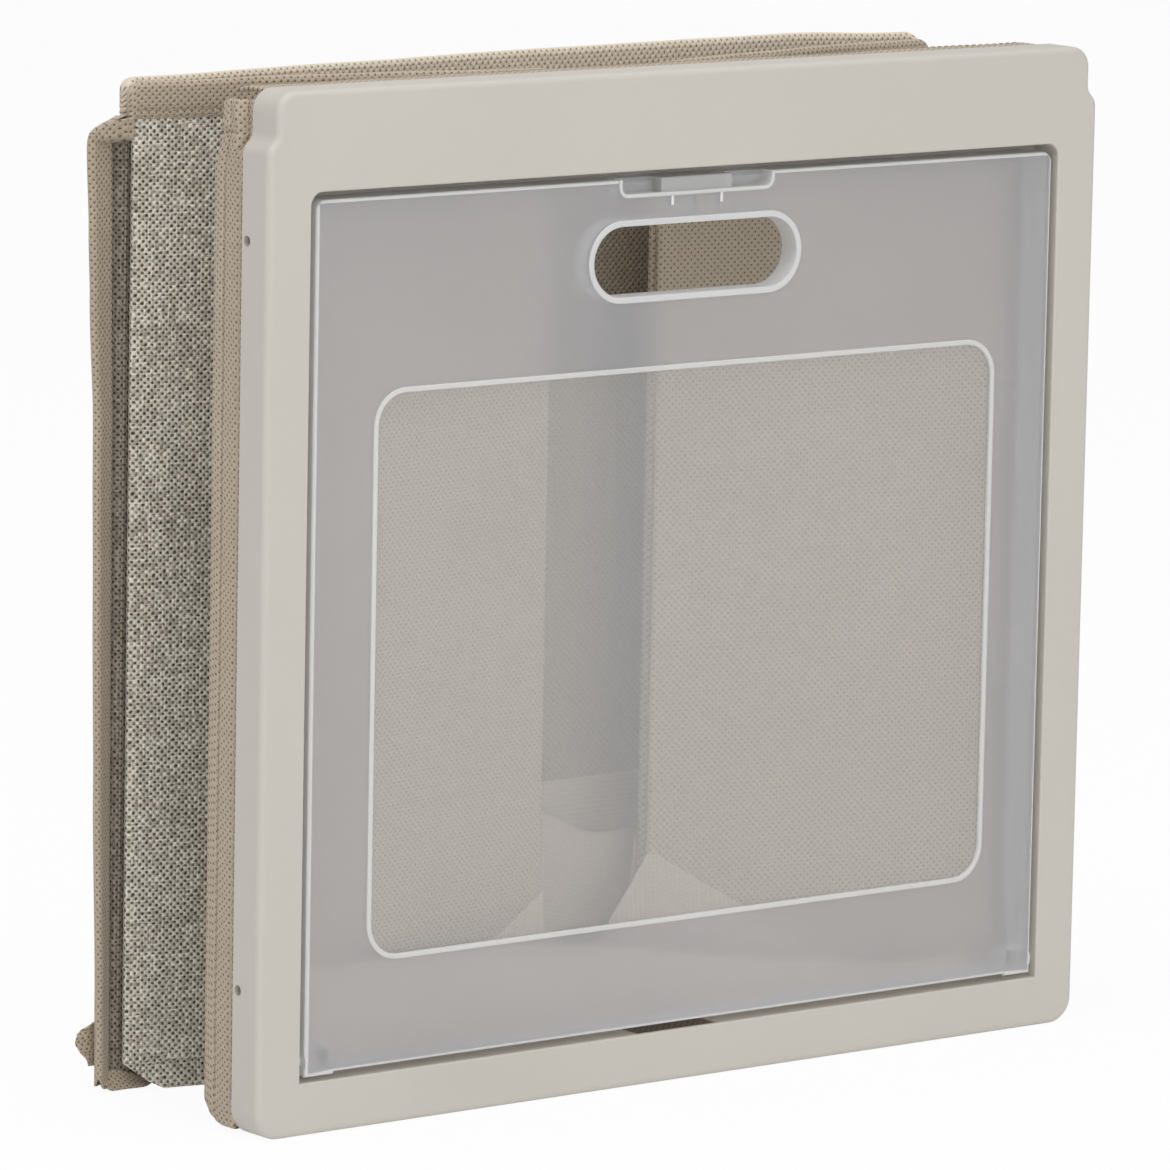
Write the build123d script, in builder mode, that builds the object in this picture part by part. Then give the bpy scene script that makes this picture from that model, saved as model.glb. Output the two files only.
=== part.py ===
"""A foldable shoe storage box, standing folded on its lower edge, in millimetres.

A moulded front frame carries a drop-down translucent door. Behind it hang four stiffened
half walls, two a side, that fold inward in a V, and a stiff back. The floor is one cloth,
creased into flaps that stand up when the box is folded and lie flat when it is open.

X runs to the right as seen from in front of the door, +Y to the back and +Z up. The origin
is under the middle of the folded box. Depths below are measured from the frame's front.
"""

from build123d import *
from math import cos, radians, sin
import os

os.makedirs("parts", exist_ok=True)

# Front frame
frame_width = 388.0
frame_height = 380.0
frame_depth = 16.0
frame_wall = 3.2
side_bar = 19.0
top_bar = 36.5
sill_height = 19.5
lower_radius = 10.0
upper_radius = 8.0
front_fillet = 2.4
opening_fillet = 0.8
opening_radius = 5.0
notch_depth = 4.0
notch_drop = 18.9
notch_rise = 4.4
notch_radius = 5.0
stop_width = 5.0
stop_thickness = 2.0
stop_bottom = 45.0
side_hole_radius = 2.0
side_hole_depth = 13.0
side_hole_rise = 54.0
sill_slot_width = 38.0
sill_slot_depth = 2.5
sill_slot_skin = 2.0

# Fabric retainer in the frame's channel, and the floor's hem behind it
retainer_depth = 10.4
retainer_thickness = 2.4
hem_thickness = 1.8

# Folded walls
fold_angle = radians(12.5)
wall_thickness = 3.6
cloth_thickness = 0.8
front_half_length = 168.5
rear_half_length = 165.3
hinge_inset = 3.8
hinge_depth = 22.0
wall_end_gap = 0.5
wall_bottom = 0.4
wall_top_drop = 4.0
band_height = 14.0
board_bottom = 13.0
board_margin = 4.0
wall_chamfer = 15.0
back_offset = 2.8
back_overhang = 2.7
back_lining_margin = 1.5
corner_gap = 0.2

# Collars: the stiff hems behind the frame
collar_depth = 20.0
collar_thickness = 1.8
collar_inset = 0.8
collar_bottom = 2.0
collar_top_drop = 7.0
collar_lower_radius = 12.0
collar_upper_radius = 4.0
top_collar_inset = 8.0

# Corner bindings: the slack cloth of the rear corners
binding_thickness = 1.2
binding_reach = 16.2
binding_lap = 12.0
binding_swell = 40.0
binding_tip_radius = 2.2
binding_edge_gap = 0.7
binding_bottom = 4.0
binding_top_drop = 18.0

# Floor cloth
floor_thickness = 0.6
floor_level = 1.6
floor_gap = 0.3
floor_front_gap = 1.0
front_flap_length = 56.0
gusset_height = 80.0
gusset_trim = 2.0
flap_side_gap = 1.0

# Door
door_gap = 2.7
door_top_gap = 3.0
door_recess = 0.6
door_thickness = 2.0
door_stop_gap = 0.8
flange_thickness = 1.8
door_radius = 4.0
door_edge_fillet = 1.2
lug_width = 12.5
lug_drop = 0.8
lug_height = 3.0
rim_fillet = 0.5
pin_radius = 2.5
pin_clearance = 0.05
pin_end_gap = 0.5
knuckle_radius = 5.4
knuckle_width = 11.0
swing_gap = 0.2
handle_width = 95.0
handle_opening = 26.0
handle_drop = 30.2
handle_rim = 2.4
handle_wall_depth = 9.0
window_side = 27.3
window_foot = 39.8
window_head = 70.5
window_radius = 13.0
bead_width = 2.0
window_recess = 0.5

# Latch
latch_pocket_width = 70.0
latch_pocket_height = 5.4
latch_pocket_depth = 6.5
latch_pocket_wall = 1.4
latch_width = 33.0
latch_recess = 1.0
latch_edge = 1.0
rib_thickness = 1.6
rib_spacing = 23.0
rib_depth = 4.4
rib_height = 4.6

# Places worked out from the sizes above
frame_half = frame_width / 2
neck_half = frame_half - notch_depth
notch_level = frame_height - notch_drop
step_low = notch_level - notch_rise / 2
step_high = notch_level + notch_rise / 2
opening_top = frame_height - top_bar
opening_width = frame_width - 2 * side_bar
opening_height = opening_top - sill_height
opening_level = (opening_top + sill_height) / 2
door_width = opening_width - 2 * door_gap
door_bottom = sill_height + door_gap
door_top = opening_top - door_top_gap
door_height = door_top - door_bottom
door_level = (door_top + door_bottom) / 2
door_inside_depth = door_recess + door_thickness
handle_level = door_top - handle_drop
window_width = door_width - 2 * window_side
window_bottom = door_bottom + window_foot
window_top = door_top - window_head
flange_depth = frame_depth - stop_thickness - door_stop_gap - door_recess
pivot_depth = door_recess + knuckle_radius
swing_room = door_gap - swing_gap
pivot_level = door_bottom + (knuckle_radius**2 - swing_room**2) / (2 * swing_room)
pin_length = door_gap + frame_wall - pin_end_gap
board_thickness = wall_thickness - 2 * cloth_thickness
wall_top = frame_height - wall_top_drop
band_bottom = wall_top - band_height
hinge_x = frame_half - hinge_inset
crease_x = hinge_x - front_half_length * cos(fold_angle)
crease_depth = hinge_depth + front_half_length * sin(fold_angle)
corner_x = crease_x + rear_half_length * cos(fold_angle) - wall_thickness * sin(fold_angle)
corner_depth = crease_depth + rear_half_length * sin(fold_angle) + wall_thickness * cos(fold_angle)
back_half_width = corner_x + back_overhang
back_depth = corner_depth + back_offset
back_rear = back_depth + wall_thickness
folded_depth = back_rear + binding_thickness
front_y = -folded_depth / 2
open_crease_depth = hinge_depth + front_half_length
open_back_depth = open_crease_depth + rear_half_length + back_offset
floor_front_depth = frame_depth + floor_front_gap + floor_gap
floor_half_width = hinge_x - wall_thickness - flap_side_gap
front_flap_end = floor_front_depth + front_flap_length
rear_flap_length = (open_back_depth - front_flap_end) / 3


def depth_plane(depth):
    """The upright plane a depth behind the frame's front, with X across and Y up."""
    return Plane.XZ.offset(-(front_y + depth))


def save(piece, name):
    """Label a finished piece and write it to its file."""
    piece.part.label = name
    export_step(piece.part, f"parts/{name}.step")


def upright_sheet(outline, depth, thickness):
    """A sheet across the box: an outline of (x, height) points thickened to the back."""
    with BuildPart() as sheet:
        with BuildSketch(depth_plane(depth)):
            with BuildLine():
                Polyline(*outline, close=True)
            make_face()
        extrude(amount=-thickness)
    return sheet


def rectangle_outline(half_width, bottom, top):
    """The corners of an upright rectangle centred across the box."""
    return [(-half_width, bottom), (half_width, bottom), (half_width, top), (-half_width, top)]


# The hollow behind the frame's face, between its outer wall and the wall round the opening
with BuildSketch() as channel:
    channel_top = frame_height - frame_wall
    with Locations((0, (frame_wall + step_low) / 2)):
        Rectangle(frame_width - 2 * frame_wall, step_low - frame_wall)
    with Locations((0, (step_low + channel_top) / 2)):
        Rectangle(2 * (neck_half - frame_wall), channel_top - step_low)
    fillet(vertices().group_by(Axis.Y)[0], lower_radius - frame_wall)
    fillet(vertices().group_by(Axis.Y)[-1], upper_radius - frame_wall)
    with Locations((0, opening_level)):
        Rectangle(opening_width + 2 * frame_wall, opening_height + 2 * frame_wall, mode=Mode.SUBTRACT)

# Front frame: a moulded ring with stepped upper corners, hollow from behind
with BuildPart() as front_frame:
    with BuildSketch(depth_plane(0)):
        with BuildLine():
            right = [(frame_half, 0), (frame_half, step_low), (neck_half, step_high), (neck_half, frame_height)]
            left = [(-x, z) for x, z in reversed(right)]
            Polyline(*right, *left, close=True)
        make_face()
        fillet(vertices().group_by(Axis.Y)[0], lower_radius)
        fillet(vertices().group_by(Axis.Y)[-1], upper_radius)
        step = [v for v in vertices() if abs(v.Y - notch_level) < 0.6 * notch_rise]
        fillet(step, notch_radius)
    extrude(amount=-frame_depth)
    with BuildSketch(depth_plane(0)):
        with Locations((0, opening_level)):
            Rectangle(opening_width, opening_height)
        fillet(vertices().group_by(Axis.Y)[-1], opening_radius)
    extrude(amount=-frame_depth, mode=Mode.SUBTRACT)
    fillet(faces().sort_by(Axis.Y)[0].outer_wire().edges(), front_fillet)
    fillet(faces().sort_by(Axis.Y)[0].inner_wires().edges(), opening_fillet)
    with BuildSketch(depth_plane(frame_depth)):
        add(channel.sketch)
    extrude(amount=frame_depth - frame_wall, mode=Mode.SUBTRACT)
    # The stop that the closed door rests against, at the top and both sides
    with BuildSketch(depth_plane(frame_depth)):
        with Locations((0, (stop_bottom + opening_top) / 2)):
            Rectangle(opening_width + 2 * frame_wall, opening_top - stop_bottom)
        with Locations((0, (stop_bottom + opening_top - stop_width) / 2)):
            Rectangle(
                opening_width - 2 * stop_width, opening_top - stop_width - stop_bottom, mode=Mode.SUBTRACT
            )
    extrude(amount=stop_thickness)
    # The finger slot in the sill and the fixing holes in both flanks
    with BuildSketch(depth_plane(frame_depth)):
        with Locations((0, sill_height - sill_slot_depth / 2)):
            Rectangle(sill_slot_width, sill_slot_depth)
    extrude(amount=frame_depth - sill_slot_skin, mode=Mode.SUBTRACT)
    for flank in (-1, 1):
        for level in (side_hole_rise, frame_height - side_hole_rise):
            with BuildSketch(Plane.YZ.offset(flank * frame_half)):
                with Locations((front_y + side_hole_depth, level)):
                    Circle(side_hole_radius)
            extrude(amount=-flank * 2 * frame_wall, mode=Mode.SUBTRACT)
    # The bores that carry the door's pins
    with BuildSketch(Plane.YZ):
        with Locations((front_y + pivot_depth, pivot_level)):
            Circle(pin_radius + pin_clearance)
    extrude(amount=opening_width / 2 + frame_wall, both=True, mode=Mode.SUBTRACT)
save(front_frame, "front_frame")

# Fabric retainer: a flat ring pressed into the frame's channel to hold the cloth
with BuildPart() as fabric_retainer:
    with BuildSketch(depth_plane(retainer_depth)):
        add(channel.sketch)
    extrude(amount=-retainer_thickness)
save(fabric_retainer, "fabric_retainer")

# Floor hem: the folded edge of the floor cloth, laid on the channel's lower wall
with BuildPart() as floor_hem:
    hem_front = retainer_depth + retainer_thickness
    with BuildSketch(depth_plane(hem_front)):
        with Locations((0, frame_wall + hem_thickness / 2)):
            Rectangle(2 * (frame_half - lower_radius), hem_thickness)
    extrude(amount=-(frame_depth + floor_front_gap - hem_front))
save(floor_hem, "floor_hem")

# Side collars: stiff cloth hems that run on from the frame's flanks
for name, flank in (("left_collar", -1), ("right_collar", 1)):
    with BuildPart() as side_collar:
        with BuildSketch(Plane.YZ.offset(flank * (frame_half - collar_inset))):
            collar_top = frame_height - collar_top_drop
            with Locations((front_y + frame_depth + collar_depth / 2, (collar_bottom + collar_top) / 2)):
                Rectangle(collar_depth, collar_top - collar_bottom)
            fillet(vertices().group_by(Axis.Y)[0].sort_by(Axis.X)[-1:], collar_lower_radius)
            fillet(vertices().group_by(Axis.Y)[-1].sort_by(Axis.X)[-1:], collar_upper_radius)
        extrude(amount=-flank * collar_thickness)
    save(side_collar, name)

# Top collar between them
with BuildPart() as top_collar:
    with BuildSketch(depth_plane(frame_depth)):
        with Locations((0, frame_height - collar_inset - collar_thickness / 2)):
            Rectangle(2 * (neck_half - top_collar_inset), collar_thickness)
    extrude(amount=-collar_depth)
save(top_collar, "top_collar")

# Door: a shallow tray of frosted plastic with its rim turned back
with BuildPart() as door_panel:
    with BuildSketch(depth_plane(door_recess)):
        with Locations((0, door_level)):
            Rectangle(door_width, door_height)
        fillet(vertices().group_by(Axis.Y)[-1], door_radius)
    extrude(amount=-flange_depth)
    fillet(faces().sort_by(Axis.Y)[0].outer_wire().edges(), door_edge_fillet)
    with BuildSketch(depth_plane(door_inside_depth)):
        with Locations((0, door_level)):
            Rectangle(door_width - 2 * flange_thickness, door_height - 2 * flange_thickness)
        fillet(vertices().group_by(Axis.Y)[-1], door_radius - flange_thickness)
    extrude(amount=-flange_depth, mode=Mode.SUBTRACT)
    # Lugs, hinge knuckles and pins at the lower corners
    for flank in (-1, 1):
        with BuildPart(mode=Mode.PRIVATE) as lug:
            with BuildSketch(depth_plane(door_recess)):
                with Locations((flank * (door_width - lug_width) / 2, door_bottom + lug_height / 2 - lug_drop)):
                    Rectangle(lug_width, lug_height)
            extrude(amount=-door_thickness)
            front = edges().group_by(Axis.Y)[0]
            fillet([front.sort_by(Axis.Z)[0], front.sort_by(Axis.X)[0 if flank < 0 else -1]], door_edge_fillet)
        add(lug.part)
        with BuildSketch(Plane.YZ.offset(flank * door_width / 2)):
            with Locations((front_y + pivot_depth, pivot_level)):
                Circle(knuckle_radius)
        extrude(amount=-flank * knuckle_width)
        with BuildSketch(Plane.YZ.offset(flank * door_width / 2)):
            with Locations((front_y + pivot_depth, pivot_level)):
                Circle(pin_radius)
        extrude(amount=flank * pin_length)
    # The shallow window, its bead, and the ring round the handle opening
    window_level = (window_bottom + window_top) / 2
    window_height = window_top - window_bottom
    with BuildSketch(depth_plane(door_recess)):
        with Locations((0, window_level)):
            RectangleRounded(window_width, window_height, window_radius)
    extrude(amount=-window_recess, mode=Mode.SUBTRACT)
    with BuildSketch(depth_plane(0)):
        with Locations((0, window_level)):
            RectangleRounded(window_width + bead_width, window_height + bead_width, window_radius + bead_width / 2)
            RectangleRounded(
                window_width - bead_width,
                window_height - bead_width,
                window_radius - bead_width / 2,
                mode=Mode.SUBTRACT,
            )
    extrude(amount=-door_inside_depth)
    with BuildSketch(depth_plane(0)):
        with Locations((0, handle_level)):
            SlotOverall(handle_width + 2 * handle_rim, handle_opening + 2 * handle_rim)
    extrude(amount=-handle_wall_depth)
    with BuildSketch(depth_plane(0)):
        with Locations((0, handle_level)):
            SlotOverall(handle_width, handle_opening)
    extrude(amount=-handle_wall_depth, mode=Mode.SUBTRACT)
    # The latch pocket in the upper edge, with the ribs that brace it
    pocket_floor = door_top - latch_pocket_height
    rib_top = pocket_floor - latch_pocket_wall
    rim_top = handle_level + handle_opening / 2
    with BuildSketch(depth_plane(0)):
        with Locations((0, (door_top + rib_top) / 2)):
            Rectangle(latch_pocket_width + 2 * latch_pocket_wall, latch_pocket_height + latch_pocket_wall)
        fillet(vertices().group_by(Axis.Y)[0], latch_pocket_height / 2 + latch_pocket_wall)
    extrude(amount=-(latch_pocket_depth + latch_pocket_wall))
    with BuildSketch(depth_plane(0)):
        with Locations((0, pocket_floor + latch_pocket_height / 2)):
            Rectangle(latch_pocket_width, latch_pocket_height)
        fillet(vertices().group_by(Axis.Y)[0], latch_pocket_height / 2)
    extrude(amount=-latch_pocket_depth, mode=Mode.SUBTRACT)
    raised = edges().group_by(Axis.Y)[0]
    fillet([edge for edge in raised if edge.center().Z < door_top], rim_fillet)
    with BuildSketch(depth_plane(door_inside_depth)):
        for x in (-rib_spacing / 2, rib_spacing / 2):
            with Locations((x, rib_top - rib_height / 2)):
                Rectangle(rib_thickness, rib_height)
        with Locations((0, (rib_top + rim_top) / 2)):
            Rectangle(rib_thickness, rib_top - rim_top)
    extrude(amount=-rib_depth)
save(door_panel, "door_panel")

# Latch tongue seated in the pocket, flush with the door's upper edge
with BuildPart() as latch_tongue:
    with BuildSketch(depth_plane(latch_recess)):
        with Locations((0, pocket_floor + latch_pocket_height / 2)):
            Rectangle(latch_width, latch_pocket_height)
    extrude(amount=-(latch_pocket_depth - latch_recess))
    fillet(edges().group_by(Axis.Z)[-1].sort_by(Axis.Y)[0:1], latch_edge)
save(latch_tongue, "latch_tongue")


def wall_frame(half):
    """A left half wall's start, direction and inner normal, as (x, depth) pairs in plan."""
    run, lean = cos(fold_angle), sin(fold_angle)
    if half == "front":
        return (-hinge_x, hinge_depth), (run, lean), (lean, -run)
    return (-crease_x, crease_depth), (-run, lean), (lean, run)


def wall_sheet(flank, half, outline, inward, thickness):
    """A sheet of a half wall: (along, height) points, thickened from a depth inward."""
    (x, depth), (dx, dy), (nx, ny) = wall_frame(half)
    origin = (-flank * (x + nx * inward), depth + ny * inward + front_y, 0)
    along = Vector(-flank * dx, dy, 0)
    plane = Plane(origin=origin, x_dir=along, z_dir=along.cross(Vector(0, 0, 1)))
    with BuildPart() as sheet:
        with BuildSketch(plane):
            with BuildLine():
                Polyline(*outline, close=True)
            make_face()
        extrude(amount=-flank * thickness)
    return sheet


def wall_outline(length, margin, bottom, top, cut=0.0):
    """A half wall's outline, with its lower far corner cut off where the floor folds in."""
    start, end = margin, length - margin
    corner = [(end - cut, bottom), (end, bottom + cut)] if cut > 0 else [(end, bottom)]
    return [(start, bottom), *corner, (end, top), (start, top)]


# Side walls: in each half a board between an outer cover and a lining, under a bound edge
for side, flank in (("left", -1), ("right", 1)):
    for half_name, length in (("front", front_half_length), ("rear", rear_half_length)):
        wall = f"{side}_{half_name}"
        cut = wall_chamfer if half_name == "rear" else 0.0
        outline = wall_outline(length, wall_end_gap, wall_bottom, band_bottom, cut)
        save(wall_sheet(flank, half_name, outline, 0, cloth_thickness), f"{wall}_cover")
        outline = wall_outline(length, wall_end_gap + board_margin, board_bottom, band_bottom)
        save(wall_sheet(flank, half_name, outline, cloth_thickness, board_thickness), f"{wall}_board")
        lining_cut = wall_bottom + cut - board_bottom
        outline = wall_outline(length, wall_end_gap, board_bottom, band_bottom, lining_cut)
        lining_inward = wall_thickness - cloth_thickness
        save(wall_sheet(flank, half_name, outline, lining_inward, cloth_thickness), f"{wall}_lining")
        outline = wall_outline(length, wall_end_gap, band_bottom, wall_top)
        save(wall_sheet(flank, half_name, outline, 0, wall_thickness), f"{wall}_top_band")
        # The floor's gusset flap stands against the lining, tallest at the crease
        start, end = wall_end_gap, length - wall_end_gap
        foot, tip = floor_level, floor_level + gusset_height
        if half_name == "front":
            outline = [(start + gusset_trim, foot), (end, foot), (end, tip)]
        else:
            outline = [(start, foot), (end - gusset_trim, foot), (start, tip)]
        flap_inward = wall_thickness + floor_gap
        save(wall_sheet(flank, half_name, outline, flap_inward, floor_thickness), f"{wall}_floor_flap")

# Back: the same build across the whole width, its lining turned forward to meet both side walls
with BuildPart() as back_lining:
    lining_level = (board_bottom + band_bottom) / 2
    with BuildSketch(depth_plane(back_depth)):
        with Locations((0, lining_level)):
            Rectangle(2 * (back_half_width - back_lining_margin), band_bottom - board_bottom)
    extrude(amount=-cloth_thickness)
    with BuildSketch(depth_plane(back_depth)):
        with Locations((-corner_x, lining_level), (corner_x, lining_level)):
            Rectangle(cloth_thickness, band_bottom - board_bottom)
    extrude(amount=back_offset - corner_gap)
save(back_lining, "back_lining")
outline = rectangle_outline(back_half_width - board_margin, board_bottom, band_bottom)
save(upright_sheet(outline, back_depth + cloth_thickness, board_thickness), "back_board")
outline = rectangle_outline(back_half_width, wall_bottom, band_bottom)
save(upright_sheet(outline, back_rear - cloth_thickness, cloth_thickness), "back_cover")
outline = rectangle_outline(back_half_width, band_bottom, wall_top)
save(upright_sheet(outline, back_depth, wall_thickness), "back_top_band")

# Corner bindings: lapped on the back, swelling out past it and turned back in at a tight tip
swell_sine = sin(radians(binding_swell))
tip_room = binding_tip_radius * (1 - swell_sine)
swell_radius = (binding_reach - binding_thickness / 2 - tip_room) / swell_sine
lap_y = front_y + back_rear + binding_thickness / 2
for side, flank, top in (("left", -1, wall_top - binding_top_drop), ("right", 1, wall_top)):
    with BuildPart() as binding:
        with BuildSketch(Plane.XY.offset(binding_bottom)):
            with BuildLine():
                edge_x = flank * back_half_width
                lap = Line((edge_x - flank * binding_lap, lap_y), (edge_x, lap_y))
                swell = JernArc(lap @ 1, lap % 1, swell_radius, -flank * binding_swell)
                bend = JernArc(swell @ 1, swell % 1, binding_tip_radius, flank * (binding_swell - 200))
                Line(bend @ 1, (edge_x + flank * binding_edge_gap, front_y + back_depth))
            trace(line_width=binding_thickness)
        extrude(amount=top - binding_bottom)
    save(binding, f"{side}_corner_binding")


def open_half_width(open_depth):
    """Half the width left for the middle of the floor, at a depth in the open box."""
    if open_depth < open_crease_depth:
        share = (open_depth - hinge_depth) / front_half_length
    else:
        share = (open_crease_depth + rear_half_length - open_depth) / rear_half_length
    return floor_half_width - gusset_height * min(max(share, 0), 1)


def floor_outline(levels, open_depths):
    """A floor flap's outline, from heights when folded and depths when open."""
    right_edge = [(open_half_width(d), z) for z, d in zip(levels, open_depths)]
    return right_edge + [(-x, z) for x, z in reversed(right_edge)]


# Middle of the floor: one flap at the sill and three that hang pleated at the back
foot, head = floor_level, floor_level + rear_flap_length
outline = floor_outline((foot, foot + front_flap_length), (floor_front_depth, front_flap_end))
save(upright_sheet(outline, floor_front_depth, floor_thickness), "front_floor_flap")
first_fold = open_back_depth - rear_flap_length
second_fold = first_fold - rear_flap_length
crease_level = head - (first_fold - open_crease_depth)
outline = floor_outline((foot, head), (open_back_depth, first_fold))
pleat = floor_thickness + floor_gap
save(upright_sheet(outline, back_depth - pleat, floor_thickness), "rear_floor_flap_1")
outline = floor_outline((head, crease_level, foot), (first_fold, open_crease_depth, second_fold))
save(upright_sheet(outline, back_depth - 2 * pleat, floor_thickness), "rear_floor_flap_2")
outline = floor_outline((foot, head), (second_fold, front_flap_end))
save(upright_sheet(outline, back_depth - 3 * pleat, floor_thickness), "rear_floor_flap_3")

print("folded depth", round(folded_depth, 3), "open depth", round(open_back_depth + wall_thickness, 3))
print("wall hinge", round(hinge_x, 3), round(front_y + hinge_depth, 3))
print("crease", round(crease_x, 3), round(front_y + crease_depth, 3))
print("corner depth", round(front_y + corner_depth, 3), "back", round(front_y + back_depth, 3))
print("door pins", round(front_y + pivot_depth, 3), round(pivot_level, 3))
print("rear flap", round(rear_flap_length, 3))
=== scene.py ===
"""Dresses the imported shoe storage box: soft cloth over the folded walls, moulded and frosted
plastic on the frame and door, and a plain studio.

Lengths are in metres. X runs to the right seen from the door, +Y to the back, +Z up. A depth
is measured from the front of the frame.
"""

import logging
import math
from dataclasses import dataclass, field
from enum import Enum
from typing import Callable, Sequence

import bmesh
import bpy
from bpy.types import ID, Material, Node, NodeSocket, NodeTree, Object
from mathutils import Matrix, Vector, noise

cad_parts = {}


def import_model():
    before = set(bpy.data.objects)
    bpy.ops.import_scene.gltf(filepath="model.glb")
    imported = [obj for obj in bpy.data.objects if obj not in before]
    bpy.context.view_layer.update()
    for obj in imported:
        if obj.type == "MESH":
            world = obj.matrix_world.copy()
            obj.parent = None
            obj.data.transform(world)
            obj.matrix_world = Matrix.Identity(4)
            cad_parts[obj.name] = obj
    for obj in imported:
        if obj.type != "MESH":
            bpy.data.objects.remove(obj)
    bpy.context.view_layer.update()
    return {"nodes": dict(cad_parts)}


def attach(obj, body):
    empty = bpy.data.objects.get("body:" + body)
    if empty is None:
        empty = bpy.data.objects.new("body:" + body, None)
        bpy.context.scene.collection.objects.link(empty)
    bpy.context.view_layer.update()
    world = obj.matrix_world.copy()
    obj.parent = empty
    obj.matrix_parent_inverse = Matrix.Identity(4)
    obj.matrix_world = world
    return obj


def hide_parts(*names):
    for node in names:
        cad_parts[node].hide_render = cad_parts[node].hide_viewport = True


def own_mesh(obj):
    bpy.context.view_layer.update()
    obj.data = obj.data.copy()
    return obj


LOG = logging.getLogger("shoe_box")

Spot = tuple[float, float]
Place = tuple[float, float, float]
Shade = tuple[int, int, int]
Color = tuple[float, float, float, float]


class Side(Enum):
    """A side of the box, as the sign of its X."""

    LEFT = -1
    RIGHT = 1

    @property
    def label(self) -> str:
        """The side's word in the node names."""
        return self.name.lower()

    def mirror(self, u: float, width: float) -> float:
        """A place across a cloth, counted from the other end on the left side."""
        return u if self is Side.RIGHT else width - u


class Half(Enum):
    """One of the two halves of a folding side wall."""

    FRONT = "front"
    REAR = "rear"


# Small sums


def srgb(*shade: int) -> Color:
    """Turn a display colour, each part from 0 to 255, into the linear colour a shader takes."""

    def linear(value: float) -> float:
        """Undo the display curve for one channel."""
        return value / 12.92 if value <= 0.04045 else ((value + 0.055) / 1.055) ** 2.4

    return (*(linear(part / 255) for part in shade), 1.0)


def scaled(color: Color, factor: float) -> Color:
    """Make a linear colour darker or lighter."""
    return (*(min(1.0, part * factor) for part in color[:3]), 1.0)


def smooth(low: float, high: float, value: float) -> float:
    """Rise smoothly from 0 at low to 1 at high."""
    share = min(max((value - low) / (high - low), 0.0), 1.0)
    return share * share * (3 - 2 * share)


def peak(value: float, centre: float, width: float) -> float:
    """A soft peak that is 1 at its centre."""
    return math.exp(-(((value - centre) / width) ** 2))


def ripple(x: float, y: float, scale: float, seed: float) -> float:
    """Slow, repeatable unevenness between about -1 and 1 at a place on a cloth."""
    return noise.noise(Vector((x / scale, y / scale, seed)))


def profile(marks: Sequence[Spot], value: float) -> float:
    """Read a smooth profile through (place, value) marks, in rising order of place."""
    if value <= marks[0][0]:
        return marks[0][1]
    for (low, start), (high, end) in zip(marks, marks[1:]):
        if value <= high:
            return start + (end - start) * smooth(low, high, value)
    return marks[-1][1]


def corner_drop(distance: float, radius: float) -> float:
    """How far a rounded corner falls away, at a distance from the edge it ends at."""
    over = min(max(radius - distance, 0.0), radius)
    return radius - math.sqrt(radius * radius - over * over)


def steps(size: float, first: int, last: int, start: float = 0.0) -> list[float]:
    """Evenly spaced places, from the first to the last step after a start."""
    return [start + size * count for count in range(first, last + 1)]


def both_ends(places: Sequence[float], length: float) -> list[float]:
    """Places measured from both ends of a length."""
    return [end for place in places for end in (place, length - place)]


def between(a: Spot, b: Spot, share: float) -> Spot:
    """The point at a share of the way from one point to another."""
    return (a[0] + (b[0] - a[0]) * share, a[1] + (b[1] - a[1]) * share)


@dataclass(frozen=True)
class Trace:
    """A line through points, read by the distance along it."""

    points: tuple[Spot, ...]

    @property
    def length(self) -> float:
        """The whole length of the line."""
        return sum(math.dist(a, b) for a, b in zip(self.points, self.points[1:]))

    def at(self, distance: float) -> Spot:
        """The point at a distance from the line's start."""
        for a, b in zip(self.points, self.points[1:]):
            step = math.dist(a, b)
            if distance <= step or b is self.points[-1]:
                break
            distance -= step
        return between(a, b, min(distance / step, 1.0))

    def smoothed(self) -> "Trace":
        """Round the line's corners off by cutting each one twice."""
        points = self.points
        for _ in range(2):
            cut = [points[0]]
            for a, b in zip(points, points[1:]):
                cut += [between(a, b, 0.25), between(a, b, 0.75)]
            points = (*cut, points[-1])
        return Trace(tuple(points))


# Node wiring


def stand(name: str, data: ID) -> Object:
    """Put a new object with its data into the scene."""
    item = bpy.data.objects.new(name, data)
    bpy.context.scene.collection.objects.link(item)
    return item


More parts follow.
